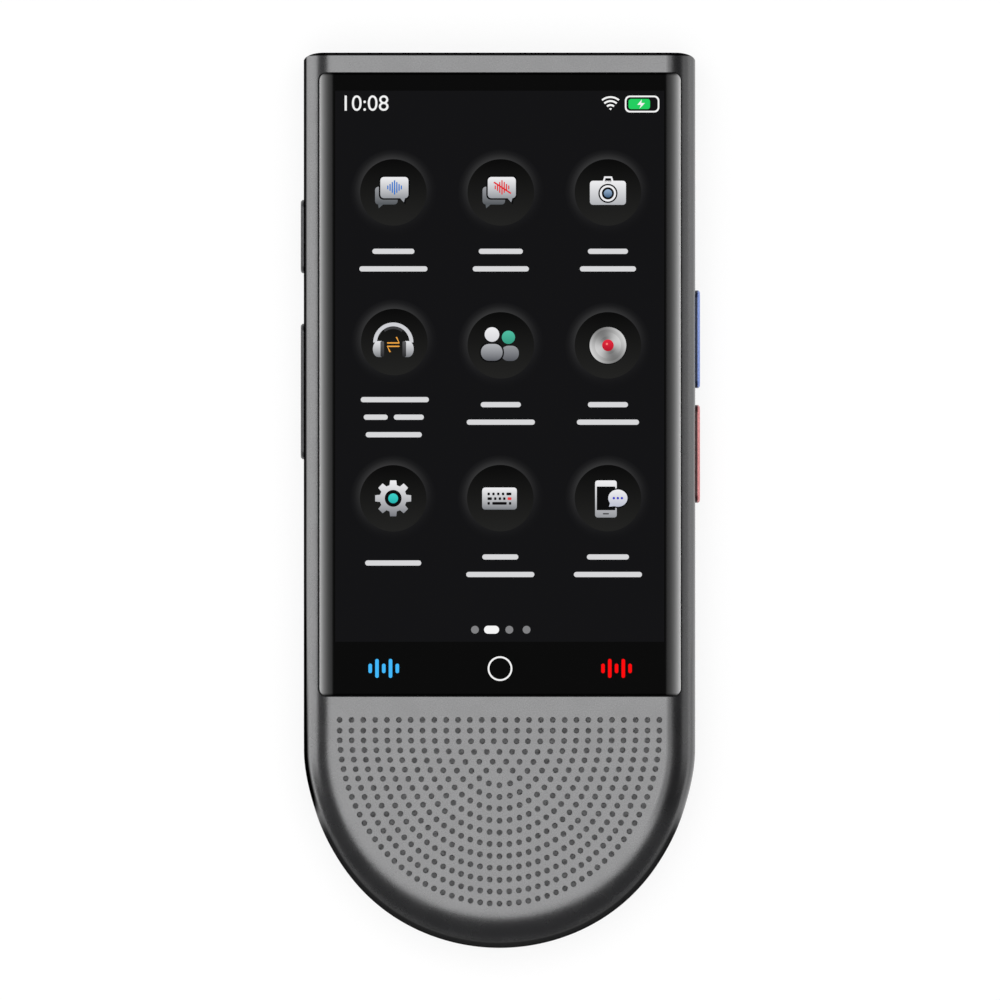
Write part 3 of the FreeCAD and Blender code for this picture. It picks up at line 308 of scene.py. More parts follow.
TAPE = surface("foam_tape", (0.02, 0.02, 0.02), rough=0.85, grain=1800, vary=0.3, bump=0.3)
RUBBER = surface("soft_rubber", (0.018, 0.018, 0.018), rough=0.7, grain=1500, vary=0.2, bump=0.15)
PLASTIC = surface("moulded_black", (0.022, 0.022, 0.023), rough=0.45, grain=2200, vary=0.15, bump=0.1)
IVORY = surface("moulded_ivory", (0.72, 0.69, 0.60), rough=0.45, grain=1800, vary=0.06, bump=0.06)
NICKEL = surface("nickel_plate", (0.66, 0.64, 0.60), metallic=1.0, rough=0.2, grain=1200, vary=0.05)
GOLD = surface("gold_plate", (0.83, 0.61, 0.25), metallic=1.0, rough=0.28, grain=1500, vary=0.08)
FILM = surface("cone_film", (0.07, 0.07, 0.08), rough=0.4, grain=1600, vary=0.2, bump=0.1)
WHITE = surface("reflector_white", (0.82, 0.83, 0.85), rough=0.35, grain=700, vary=0.03)
CLEAR = surface("clear_lens", (0.80, 0.80, 0.74), rough=0.12, grain=500, vary=0.04, coat=0.6)
PANEL = surface("panel_black", (0.012, 0.012, 0.014), rough=0.15, grain=500, vary=0.2, coat=0.5)
LENS = surface("lens_glass", (0.006, 0.007, 0.011), rough=0.05, grain=300, vary=0.3, coat=0.9,
               rough_vary=0.02)
RING = surface("anodised_ring", (0.16, 0.16, 0.165), metallic=1.0, rough=0.25, grain=2600, vary=0.1,
               stretch=(1, 1, 6))
SCREW = surface("screw_steel", (0.42, 0.42, 0.43), metallic=1.0, rough=0.35, grain=2400, vary=0.15)

CAD_FINISH = {
    "power_button volume_button": KEY,
    "blue_talk_button": BLUE,
    "red_talk_button": RED,
    "grille_mesh": MESH,
    "usb_shell power_dome volume_domes blue_dome red_dome": STEEL,
    "usb_tongue loudspeaker_frame camera_module": PLASTIC,
    "midframe left_key_bracket right_key_bracket": FRAME,
    "main_board sub_board": BOARD,
    "processor_chip memory_chip": CHIP,
    "processor_shield radio_shield vibration_motor lower_microphone upper_microphone": SHIELD,
    "board_flex display_flex battery_lead left_key_flex right_key_flex soft_key_led_board": AMBER,
    "battery_cell": POUCH,
    "battery_tape display_adhesive": TAPE,
    "speaker_surround speaker_gasket lower_microphone_boot upper_microphone_boot": RUBBER,
    "speaker_diaphragm": FILM,
    "speaker_magnet": NICKEL,
    "speaker_contacts wifi_antenna": GOLD,
    "battery_connector flash_riser": IVORY,
    "lcd_backlight": WHITE,
    "soft_key_light_guide flash_window flash_led soft_key_leds": CLEAR,
    "touch_sensor lcd_panel": PANEL,
    "camera_ring": RING,
    "camera_window": LENS,
    "board_screws": SCREW,
}


def dress_cad_nodes():
    """Finishes for the solids that are shown as they are."""
    for names, mat in CAD_FINISH.items():
        for name in names.split():
            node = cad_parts[name]
            node.data.materials.clear()
            node.data.materials.append(mat)
            for polygon in node.data.polygons:
                polygon.use_smooth = True
            split = node.modifiers.new("crisp_edges", "EDGE_SPLIT")
            split.split_angle = math.radians(32)


def add_piece(name, build, mat, replaces=()):
    """A mesh piece on the housing, from points in millimetres, turned to face its given normals."""
    verts = np.asarray(build.verts, float)
    normals = np.asarray(build.normals, float)
    turned = []
    for face in build.faces:
        a, b, c = (verts[i] for i in face[:3])
        facing = np.cross(b - a, c - a) @ normals[list(face)].sum(0)
        turned.append(tuple(face) if facing >= 0 else tuple(reversed(face)))
    mesh = bpy.data.meshes.new(name)
    mesh.from_pydata([tuple(v) for v in verts * MM], [], [tuple(int(i) for i in f) for f in turned])
    mesh.polygons.foreach_set("use_smooth", [True] * len(mesh.polygons))
    if len(build.tints):
        layer = mesh.color_attributes.new("tint", "FLOAT_COLOR", "POINT")
        values = np.ones((len(verts), 4), np.float32)
        values[:, :3] = np.asarray(build.tints, np.float32)
        layer.data.foreach_set("color", values.ravel())
    lengths = np.linalg.norm(normals, axis=1, keepdims=True)
    mesh.normals_split_custom_set_from_vertices([tuple(n) for n in normals / np.maximum(lengths, 1e-9)])
    mesh.materials.append(mat)
    piece = bpy.data.objects.new(name, mesh)
    bpy.context.scene.collection.objects.link(piece)
    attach(piece, "housing")
    if replaces:
        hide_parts(*replaces)


def band_faces(count, closed=True):
    """Quads between two rows of points of the same count."""
    last = count if closed else count - 1
    return [(i, (i + 1) % count, count + (i + 1) % count, count + i) for i in range(last)]


class Build:
    """Gathers the points, faces, normals and tints of one piece."""

    def __init__(self):
        self.verts = []
        self.faces = []
        self.normals = []
        self.tints = []

    def add(self, verts, faces, normals, tints=()):
        start = len(self.verts)
        self.verts.extend(tuple(v) for v in verts)
        self.faces.extend(tuple(i + start for i in f) for f in faces)
        self.normals.extend(tuple(n) for n in normals)
        self.tints.extend(tuple(t) for t in tints)

    def band(self, first, second, normals):
        """Quads between two closed rows of points."""
        self.add(list(first) + list(second), band_faces(len(first)), list(normals) + list(normals))


def cut_plan(loops, lines=()):
    """Triangles of the plane cut by closed loops and open lines. Returns points and triangles."""
    points, edges = [], []
    for loop in loops:
        start = len(points)
        points += [Vector(p) for p in loop]
        edges += [(start + i, start + (i + 1) % len(loop)) for i in range(len(loop))]
    for line in lines:
        start = len(points)
        points += [Vector(p) for p in line]
        edges += [(start + i, start + i + 1) for i in range(len(line) - 1)]
    found = geometry.delaunay_2d_cdt(points, edges, [], 0, 1e-5)
    return np.array([tuple(p) for p in found[0]]), np.array([tuple(f) for f in found[2]])


def circle_points(x, y, radius, count):
    """A circle as a closed loop, anticlockwise."""
    return [(x + radius * math.cos(2 * math.pi * i / count), y + radius * math.sin(2 * math.pi * i / count))
            for i in range(count)]


def rounded_points(x0, y0, x1, y1, radius, steps=8):
    """A rounded rectangle, anticlockwise."""
    out = []
    corners = ((x1 - radius, y0 + radius, -90), (x1 - radius, y1 - radius, 0),
               (x0 + radius, y1 - radius, 90), (x0 + radius, y0 + radius, 180))
    for cx, cy, start in corners:
        for i in range(steps + 1):
            angle = math.radians(start + 90 * i / steps)
            out.append((cx + radius * math.cos(angle), cy + radius * math.sin(angle)))
    return out


class Shell:
    """A half of the body: a tongue outline whose edge rolls over to a flat face."""

    def __init__(self, edge, depth, side_roll, end_roll, up, end_round):
        self.edge, self.depth, self.up = edge, depth, up
        self.side, self.end, self.end_round = side_roll, end_roll, end_round

    def tongue(self, u):
        """Radius and centre of the round end at u, which goes from 0 at the edge to 1 at the flat face."""
        a = HALF - self.side * u
        return a, LOW + self.end * u + a

    def ring(self, u, steps=96):
        """The outline drawn in by u."""
        a, c = self.tongue(u)
        left = [(-a, y) for y in np.linspace(TOP, c, 26)[:-1]]
        arc = [(a * math.cos(t), c + a * math.sin(t)) for t in np.linspace(math.pi, 2 * math.pi, steps)]
        right = [(a, y) for y in np.linspace(c, TOP, 26)[1:]]
        return left + arc + right

    def draw_in(self, x, y):
        """How far in from the edge each point lies, 0 to 1."""
        low, high = np.zeros(len(x)), np.ones(len(x))
        for _ in range(44):
            u = (low + high) / 2
            a, c = self.tongue(u)
            reach = np.where(y >= c, np.abs(x), np.hypot(x, y - c))
            inside = reach < a
            low = np.where(inside, u, low)
            high = np.where(inside, high, u)
        return (low + high) / 2

    def lift(self, x, y):
        """Height and normal of the surface above each point of the plan."""
        u = self.draw_in(x, y)
        cosine = 1 - u
        sine = np.sqrt(np.maximum(0, 1 - cosine ** 2))
        _, c = self.tongue(u)
        radial = np.stack([x, np.minimum(0, y - c)], 1)
        radial /= np.maximum(np.linalg.norm(radial, axis=1, keepdims=True), 1e-9)
        stretch = 1 / np.maximum(0.5, self.side - radial[:, 1] * (self.end - self.side))
        normal = np.column_stack([radial * (self.depth * cosine * stretch)[:, None], sine])
        normal /= np.linalg.norm(normal, axis=1, keepdims=True)
        past = np.clip((y - (TOP - self.end_round)) / self.end_round, 0, 1)
        fall = self.end_round * (1 - np.sqrt(1 - past ** 2))
        normal = normal * np.sqrt(1 - past ** 2)[:, None]
        normal[:, 1] += past
        height = self.depth * sine - fall
        if self.up:
            return self.edge + height, normal
        normal[:, 2] *= -1
        return self.edge - height, normal

    def inside(self, x, y):
        """Whether points of the plan lie on the shell, with its eased top corners."""
        a = np.where(y >= ARC_CENTRE, np.abs(x), np.hypot(x, y - ARC_CENTRE))
        cx = (np.abs(x) - (HALF - CORNER_RUN)) / CORNER_RUN
        cy = (y - (TOP - CORNER_DROP)) / CORNER_DROP
        cornered = (cx > 0) & (cy > 0) & (cx ** 2 + cy ** 2 > 1)
        return (a < HALF) & (y < TOP) & ~cornered


def outer_path():
    """The body's outline, from the top left round the lower end and back, with outward normals."""
    points, normals = [], []

    def put(x, y, nx, ny):
        points.append((x, y))
        length = math.hypot(nx, ny)
        normals.append((nx / length, ny / length))

    def put_corner(side, start, stop):
        for t in np.linspace(start, stop, 20):
            put(side * (HALF - CORNER_RUN) + CORNER_RUN * math.cos(t),
                TOP - CORNER_DROP + CORNER_DROP * math.sin(t),
                math.cos(t) / CORNER_RUN, math.sin(t) / CORNER_DROP)

    put_corner(-1, math.pi / 2, math.pi)
    for y in np.linspace(TOP - CORNER_DROP, ARC_CENTRE, 28)[1:-1]:
        put(-HALF, y, -1, 0)
    for t in np.linspace(math.pi, 2 * math.pi, 121):
        put(HALF * math.cos(t), ARC_CENTRE + HALF * math.sin(t), math.cos(t), math.sin(t))
    for y in np.linspace(ARC_CENTRE, TOP - CORNER_DROP, 28)[1:-1]:
        put(HALF, y, 1, 0)
    put_corner(1, 0, math.pi / 2)
    for x in np.linspace(HALF - CORNER_RUN, -(HALF - CORNER_RUN), 16)[1:]:
        put(x, TOP, 0, 1)
    return np.array(points), np.array(normals)


PATH, PATH_NORMALS = outer_path()
PATH_LENGTH = np.concatenate([[0], np.cumsum(np.hypot(*np.diff(PATH, axis=0).T))])


def along_path(distance):
    """Point and normal of the outline at a distance along it."""
    spots, normals = (np.stack([np.interp(distance, PATH_LENGTH, column) for column in table.T], -1)
                      for table in (PATH, PATH_NORMALS))
    return spots, normals


def path_distance(x, y):
    """The distance along the outline nearest to a point."""
    best = np.argmin(np.hypot(PATH[:, 0] - x, PATH[:, 1] - y))
    near = np.linspace(PATH_LENGTH[max(0, best - 1)], PATH_LENGTH[min(len(PATH) - 1, best + 1)], 400)
    spots, _ = along_path(near)
    return float(near[np.argmin(np.hypot(spots[:, 0] - x, spots[:, 1] - y))])


def side_wall(build, shell, openings):
    """The upright wall from the parting line to a shell's rim.

    Its openings are loops of distance along the outline and height.
    """
    rim_z, _ = shell.lift(PATH[:, 0] * 0.99999, PATH[:, 1] - 1e-4)
    sign = 1 if shell.up else -1
    steps = list(zip(PATH_LENGTH, rim_z))
    seam = [(s, PARTING) for s in PATH_LENGTH]
    eased = [(s, PARTING + sign * SEAM_EASE) for s in PATH_LENGTH]
    loops = [steps + seam[::-1]] + openings
    lines = [eased] + [[(s, PARTING), (s, z)] for s, z in steps]
    flat, triangles = cut_plan(loops, lines)
    middle = flat[triangles].mean(1)
    limit = np.interp(middle[:, 0], PATH_LENGTH, rim_z)
    keep = (middle[:, 1] - PARTING) * sign > 0
    keep &= (limit - middle[:, 1]) * sign > 0
    for loop in openings:
        keep &= ~in_loop(middle, np.array(loop))
    spots, normals = along_path(flat[:, 0])
    set_in = np.where(np.abs(flat[:, 1] - PARTING) < 1e-4, SEAM_EASE, 0.0)
    verts = np.column_stack([spots - normals * set_in[:, None], flat[:, 1]])
    tilt = np.where(set_in > 0, -sign * 1.0, 0.0)
    upright = np.column_stack([normals, tilt])
    build.add(verts, triangles[keep], upright)
    for loop in openings:
        loop = np.array(loop)
        spots, normals = along_path(loop[:, 0])
        outer = np.column_stack([spots, loop[:, 1]])
        inner = np.column_stack([spots - normals * SLOT_DEPTH, loop[:, 1]])
        centre = outer.mean(0)
        build.band(outer, inner, centre - outer + 1e-6)


def in_loop(points, loop):
    """Whether points lie in a closed loop, by counting crossings."""
    x, y = points[:, 0], points[:, 1]
    hit = np.zeros(len(points), bool)
    for (x0, y0), (x1, y1) in zip(loop, np.roll(loop, -1, axis=0)):
        crosses = (y0 > y) != (y1 > y)
        at = x0 + (y - y0) * (x1 - x0) / np.where(abs(y1 - y0) < 1e-12, 1e-12, y1 - y0)
        hit ^= crosses & (x < at)
    return hit


def slot_loop(distance, level, length, height):
    """A slot with round ends, as distance along the wall and height."""
    r, reach = height / 2, length / 2 - height / 2
    out = []
    for side in (1, -1):
        for i in range(13):
            t = -side * math.pi / 2 + math.pi * i / 12
            out.append((distance + side * reach + r * math.cos(t), level + r * math.sin(t)))
    return out


def grille_points():
    """Hole centres: a straight row, nested half-ellipses below it and short rows inside them."""
    pitch, top, rise, second = 1.863, -34.48, 2.06, -36.16
    points = [(pitch * (i - 13.5), top) for i in range(28)]
    for arc in range(11):
        across = pitch * (13.5 - arc)
        t = np.linspace(0, math.pi, 1601)
        x, y = across * np.cos(t), -(across + rise) * np.sin(t)
        run = np.concatenate([[0], np.cumsum(np.hypot(np.diff(x), np.diff(y)))])
        goals = np.linspace(0, run[-1], 55 - 4 * arc)
        points += list(zip(np.interp(goals, run, x), second + np.interp(goals, run, y)))
    rows = ((second, pitch, 6), (-37.83, 1.79, 6), (-39.5, 2.0, 5), (-41.05, 2.11, 4), (-42.45, 2.08, 3))
    for y, gap, count in rows:
        points += [(gap * (i - (count - 1) / 2), y) for i in range(count)]
    return points


def ramp(value, low, high):
    """A smooth step from 0 at low to 1 at high."""
    t = np.clip((value - low) / (high - low), 0, 1)
    return t * t * (3 - 2 * t)


def draw_sides(points, weight):
    """Draw the lower curve in a little on both sides, most at the edge, as the photograph's outline is."""
    x, y = points[:, 0], points[:, 1]
    draw = DRAW * ramp(-y, *DRAW_STARTS) * (1 - ramp(-y, *DRAW_ENDS)) * np.clip(np.abs(x) / 10, 0, 1)
    out = points.copy()
    out[:, 0] = x - np.sign(x) * draw * weight
    return out


def rim_shade(shell, x, y):
    """Painted shade round the rim, in place of its dark reflections: deep at the lower end and along the
    outer edges, darker along the right side and in a thin line at the top.
    """
    u = shell.draw_in(x, y)
    inward = u * (shell.side + (shell.end - shell.side) * ramp(-y, -ARC_CENTRE, 70))
    low = ramp(-y, *LOW_BAND)
    outer = 1 - ramp(u, *LOW_BAND_REACH) ** 1.5
    shade = 1 - outer * low * LOW_BAND_DEPTH + 0.16 * low * (1 - ramp(inward, *LOW_EDGE_REACH))
    wider = 0.3 * ramp(-y, *EDGE_LINE_WIDENS)
    edge = 0.03 + 0.97 * ramp(inward, EDGE_LINE[0] + wider, EDGE_LINE[1] + wider)
    edge = edge + (1 - edge) * low
    left = ramp(-x, -6, 6)
    shade = np.minimum(shade, edge * left + (1 - left) * np.maximum(edge, 0.82))
    right = ramp(x, 14, 26) * (1 - ramp(u, 0.9, 0.999)) * ramp(u, 0.0, 0.15)
    shade = shade * (1 - right * (1 - low) * 0.42)
    top = 0.025 + 0.975 * ramp(TOP - y, *TOP_LINE)
    return np.where(y > TOP - 1, shade * top, shade)


def hole_distance(points, centres):
    """How far each point is from the nearest hole centre. Points above the chin count as far off."""
    far_off = 9.0
    out = np.full(len(points), far_off)
    chin = points[:, 1] < CHIN_TOP
    out[chin] = np.sqrt(((points[chin][:, None, :] - centres[None]) ** 2).sum(2).min(1))
    return out


def roll_lines(shell, steps, top_steps):
    """Lines for the plan of a shell: the rings of its rolled rim and rows across its eased top."""
    angles = np.radians(np.linspace(0, 90, steps))
    rings = [shell.ring(1 - math.cos(t)) for t in angles[1:]]
    return rings + [[(-HALF - 1, TOP - d), (HALF + 1, TOP - d)] for d in top_steps]


def add_face(build, shell, seat, centres):
    """The housing's rolled face with its holes, each with a small eased rim. Returns its plan."""
    loops = [[tuple(p) for p in PATH[:-1]], seat]
    loops += [circle_points(x, y, HOLE_RADIUS + HOLE_RIM, HOLE_SIDES) for x, y in centres]
    loops += [circle_points(x, y, HOLE_RADIUS, HOLE_SIDES) for x, y in centres]
    flat, triangles = cut_plan(loops, roll_lines(shell, 16, (0.04, 0.1, 0.2, 0.32) + TOP_LINE))
    middle = flat[triangles].mean(1)
    keep = shell.inside(middle[:, 0], middle[:, 1]) & ~in_loop(middle, np.array(seat))
    keep &= hole_distance(middle, centres) > HOLE_RADIUS * math.cos(math.pi / HOLE_SIDES) - 0.01
    height, normals = shell.lift(flat[:, 0], flat[:, 1])
    on_hole = hole_distance(flat, centres) < HOLE_RADIUS + 0.01
    height = np.where(on_hole, height - HOLE_EASE, height)
    index = np.where(on_hole)[0]
    pick = ((flat[index][:, None, :] - centres[None]) ** 2).sum(2).argmin(1)
    normals[index, :2] += (centres[pick] - flat[index]) / HOLE_RADIUS * 0.7
    build.add(np.column_stack([flat, height]), triangles[keep], normals)
    return flat


def bore(build, x, y, radius, sides, start, stop):
    """The upright wall of a round hole."""
    ring = circle_points(x, y, radius, sides)
    build.band([(px, py, start) for px, py in ring], [(px, py, stop) for px, py in ring],
               [(x - px, y - py, 0) for px, py in ring])


def add_seat(build, shell, seat):
    """The walls of the glass seat and the ledge that the glass lies on."""
    points = np.array(seat)
    height, _ = shell.lift(points[:, 0], points[:, 1])
    upper = np.column_stack([points, height])
    lower = upper.copy()
    lower[:, 2] = SEAT_FLOOR
    toward = np.column_stack([np.array([(0, GLASS_MIDDLE)]) - points, np.zeros(len(seat))])
    build.band(upper, lower, toward)
    ledge = np.array(rounded_points(*LEDGE, LEDGE_CORNER))
    ledge = np.column_stack([ledge, np.full(len(ledge), SEAT_FLOOR)])
    build.band(lower, ledge, [(0, 0, 1)] * len(lower))


def wall_openings():
    """Loops of the key slots, the charging socket and the two microphone holes."""
    loops = [slot_loop(path_distance(x, y), KEY_LEVEL, length, KEY_SLOT_HEIGHT)
             for x, y, length in KEY_SLOTS]
    loops.append(slot_loop(path_distance(0, LOW), *SOCKET))
    lower_y = ARC_CENTRE - math.sqrt(HALF ** 2 - LOWER_MICROPHONE[0] ** 2)
    for (x, level), y in ((LOWER_MICROPHONE, lower_y), (UPPER_MICROPHONE, TOP)):
        loops.append(circle_points(path_distance(x, y), level, MICROPHONE_RADIUS, 20))
    return loops


def draw_in_build(build, shell, flat, wall):
    """Draw the lower curve of a finished shell in: its wall in full, its rolled face less further in."""
    weight = wall.astype(float)
    weight[:len(flat)] = 1 - shell.draw_in(flat[:, 0], flat[:, 1])
    build.verts = [tuple(v) for v in draw_sides(np.array(build.verts), weight)]


def make_front_housing():
    """The painted front shell: rolled face, drilled grille, glass seat and side wall."""
    shell = Shell(FRONT - FRONT_ROLL, FRONT_ROLL, FRONT_SIDE_ROLL, FRONT_END_ROLL, True, TOP_EASE)
    centres = np.array(grille_points())
    seat = rounded_points(-GLASS_HALF - SEAT_GAP, GLASS_LOW - SEAT_GAP,
                          GLASS_HALF + SEAT_GAP + SEAT_MORE_RIGHT, GLASS_HIGH + SEAT_GAP - SEAT_LESS_TOP,
                          SEAT_CORNER)
    build = Build()
    flat = add_face(build, shell, seat, centres)
    for x, y in centres:
        bore(build, x, y, HOLE_RADIUS, HOLE_SIDES, FRONT - HOLE_EASE, PLATE_UNDER)
    first_seat = len(build.verts)
    add_seat(build, shell, seat)
    first_wall = len(build.verts)
    side_wall(build, shell, wall_openings())
    # Painted shade in the tints: the rim's dark bands and lines, dark grille bores, a dark glass seat and a
    # side wall that darkens toward the lower end.
    shades = np.full(len(build.verts), SEAT_SHADE)
    shades[:len(flat)] = rim_shade(shell, flat[:, 0], flat[:, 1])
    shades[len(flat):first_seat] = HOLE_SHADE
    along = np.array(build.verts)[first_wall:, 1]
    shades[first_wall:] = WALL_SHADE - WALL_SHADE_FALL * ramp(-along, *WALL_FALLS)
    draw_in_build(build, shell, flat, np.arange(len(build.verts)) >= first_wall)
    build.tints = np.repeat(shades[:, None], 3, axis=1)
    add_piece("housing_shell", build, PAINT, replaces=("front_housing",))


def make_rear_cover():
    """The painted rear shell: flat back with rolled edges and two round ports."""
    shell = Shell(REAR_ROLL, REAR_ROLL, REAR_ROLL, REAR_ROLL, False, TOP_EASE)
    loops = [[tuple(p) for p in PATH[:-1]]] + [circle_points(*port) for port in PORTS]
    flat, triangles = cut_plan(loops, roll_lines(shell, 13, (0.04, 0.1, 0.2, 0.32)))
    middle = flat[triangles].mean(1)
    keep = shell.inside(middle[:, 0], middle[:, 1])
    for x, y, radius, _ in PORTS:
        keep &= np.hypot(middle[:, 0] - x, middle[:, 1] - y) > radius * 0.998
    height, normals = shell.lift(flat[:, 0], flat[:, 1])
    build = Build()
    build.add(np.column_stack([flat, height]), triangles[keep], normals)
    for x, y, radius, count in PORTS:
        bore(build, x, y, radius, count, 0, PORT_DEPTH)
    side_wall(build, shell, [])
    draw_in_build(build, shell, flat, np.ones(len(build.verts)))
    add_piece("rear_shell", build, REAR_PAINT, replaces=("rear_cover",))


def glass_surface(x, y):
    """How far points reach into the glass's curved sides and eased ends, and their height."""
    curve = (GLASS_CURVE_RUN ** 2 + GLASS_CURVE_DROP ** 2) / (2 * GLASS_CURVE_DROP)
    over = np.clip(np.abs(x) - (GLASS_HALF - GLASS_CURVE_RUN), 0, GLASS_CURVE_RUN)
    past = np.maximum(y - (GLASS_HIGH - GLASS_EASE), (GLASS_LOW + GLASS_EASE) - y)
    end = np.clip(past, 0, GLASS_EASE * 0.95)
    height = GLASS_TOP - (curve - np.sqrt(curve ** 2 - over ** 2))
    height = height - (GLASS_EASE - np.sqrt(GLASS_EASE ** 2 - end ** 2)) * 0.6
    return over, end, height, curve


def make_glass():
    """The cover glass: flat in the middle, long edges curved down, with a painted highlight that pales them
    toward the rim.
    """
    outline = rounded_points(-GLASS_HALF + GLASS_GAP_LEFT, GLASS_LOW + GLASS_GAP_END,
                             GLASS_HALF - GLASS_GAP_RIGHT, GLASS_HIGH - GLASS_GAP_END, GLASS_CORNER, 10)
    lines = []
    for share in np.linspace(0, 1, 19)[:-1]:
        x = GLASS_HALF - GLASS_CURVE_RUN + GLASS_CURVE_RUN * share
        lines += [[(side * x, GLASS_LOW - 1), (side * x, GLASS_HIGH + 1)] for side in (-1, 1)]
    for share in np.linspace(0, 0.9, 6):
        drop = GLASS_EASE * (1 - share)
        for y in (GLASS_LOW + drop, GLASS_HIGH - drop):
            lines.append([(-GLASS_HALF - 1, y), (GLASS_HALF + 1, y)])
    flat, triangles = cut_plan([outline], lines)
    keep = in_loop(flat[triangles].mean(1), np.array(outline))
    x, y = flat[:, 0], flat[:, 1]
    over, end, height, curve = glass_surface(x, y)
    normals = np.stack([np.sign(x) * over / curve, np.sign(y - GLASS_MIDDLE) * end / GLASS_EASE * 0.8,
                        np.sqrt(1 - (over / curve) ** 2)], 1)
    share = over / GLASS_CURVE_RUN
    # Painted highlight: the curved glass edges are painted paler toward the rim, a little more on the left,
    # in place of the side lamps' reflection.
    glow = np.exp(-3.7 * (1 - share)) * ramp(share, 0, 0.12) * np.where(x < 0, 0.52, 0.50)
    black_and_painted_highlight = 0.0009 + glow * np.clip(1 - end / GLASS_EASE * 1.2, 0, 1)
    build = Build()
    build.add(np.stack([x, y, height], 1), triangles[keep], normals, np.stack([black_and_painted_highlight, black_and_painted_highlight, black_and_painted_highlight], 1))
    ring = np.array(outline)
    _, _, rim, _ = glass_surface(ring[:, 0], ring[:, 1])
    upper = np.column_stack([ring, rim])
    lower = upper.copy()
    lower[:, 2] = GLASS_FOOT
    outward = np.column_stack([ring - np.array([[0, GLASS_MIDDLE]]), np.zeros(len(ring))])
    build.band(upper, lower, outward)
    build.tints += [(0.002, 0.002, 0.002)] * (2 * len(ring))
    add_piece("cover_glass", build, GLASS, replaces=("touch_glass",))


# The lit picture on the screen, in photograph pixels with y down.
PANEL_GREY = linear(15, 15, 17)
BLACK = linear(6, 6, 7)
PALE = linear(238, 238, 240)
SHADED = linear(150, 152, 156)
WHITE_INK = linear(245, 245, 245)
PICTURE = (335.6, 90.8, 663.8, 640.6)
WELLS = ((393.6, 192.2), (500.8, 192.2), (607.7, 192.2), (394.5, 341.5), (500.8, 344.8), (607.7, 344.8),
         (393.4, 497.5), (500.3, 497.3), (607.7, 497.3))
# Plain bars where labels would be: centre, row and widths.
LABELS = ((393.6, 251, (42,)), (393.6, 268.5, (68,)), (500.8, 251, (44,)), (500.8, 268.5, (56,)),
          (607.7, 251, (40,)), (607.7, 268.5, (56,)), (395, 399, (68,)), (394, 416.5, (24, 30)),
          (394, 434, (56,)), (500.8, 404, (40,)), (500.8, 421.5, (68,)), (607.7, 404, (40,)),
          (607.7, 421.5, (62,)), (393.4, 562, (56,)), (500.3, 556, (36,)), (500.3, 573.5, (68,)),
          (607.7, 556, (42,)), (607.7, 573.5, (68,)))
LABEL_HEIGHT = 5.2
LABEL_GAP = 6
WIRELESS = (610.3, 110.2)
BATTERY = (624.6, 95.6, 659, 112.4)
BATTERY_INNER = (626.2, 97.2, 657.4, 110.8)
PAGE_ROW = 628.6
SOFT_KEY_ROW = 667.2
CLOCK_LEFT = 340.5
CLOCK_ROW = 110.6
CLOCK_WIDTH = 6.9


def layer(number):
    """Height of a layer of the picture. Higher numbers lie over lower ones."""
    return GLASS_TOP + SCREEN_GAP + LAYER_STEP * number


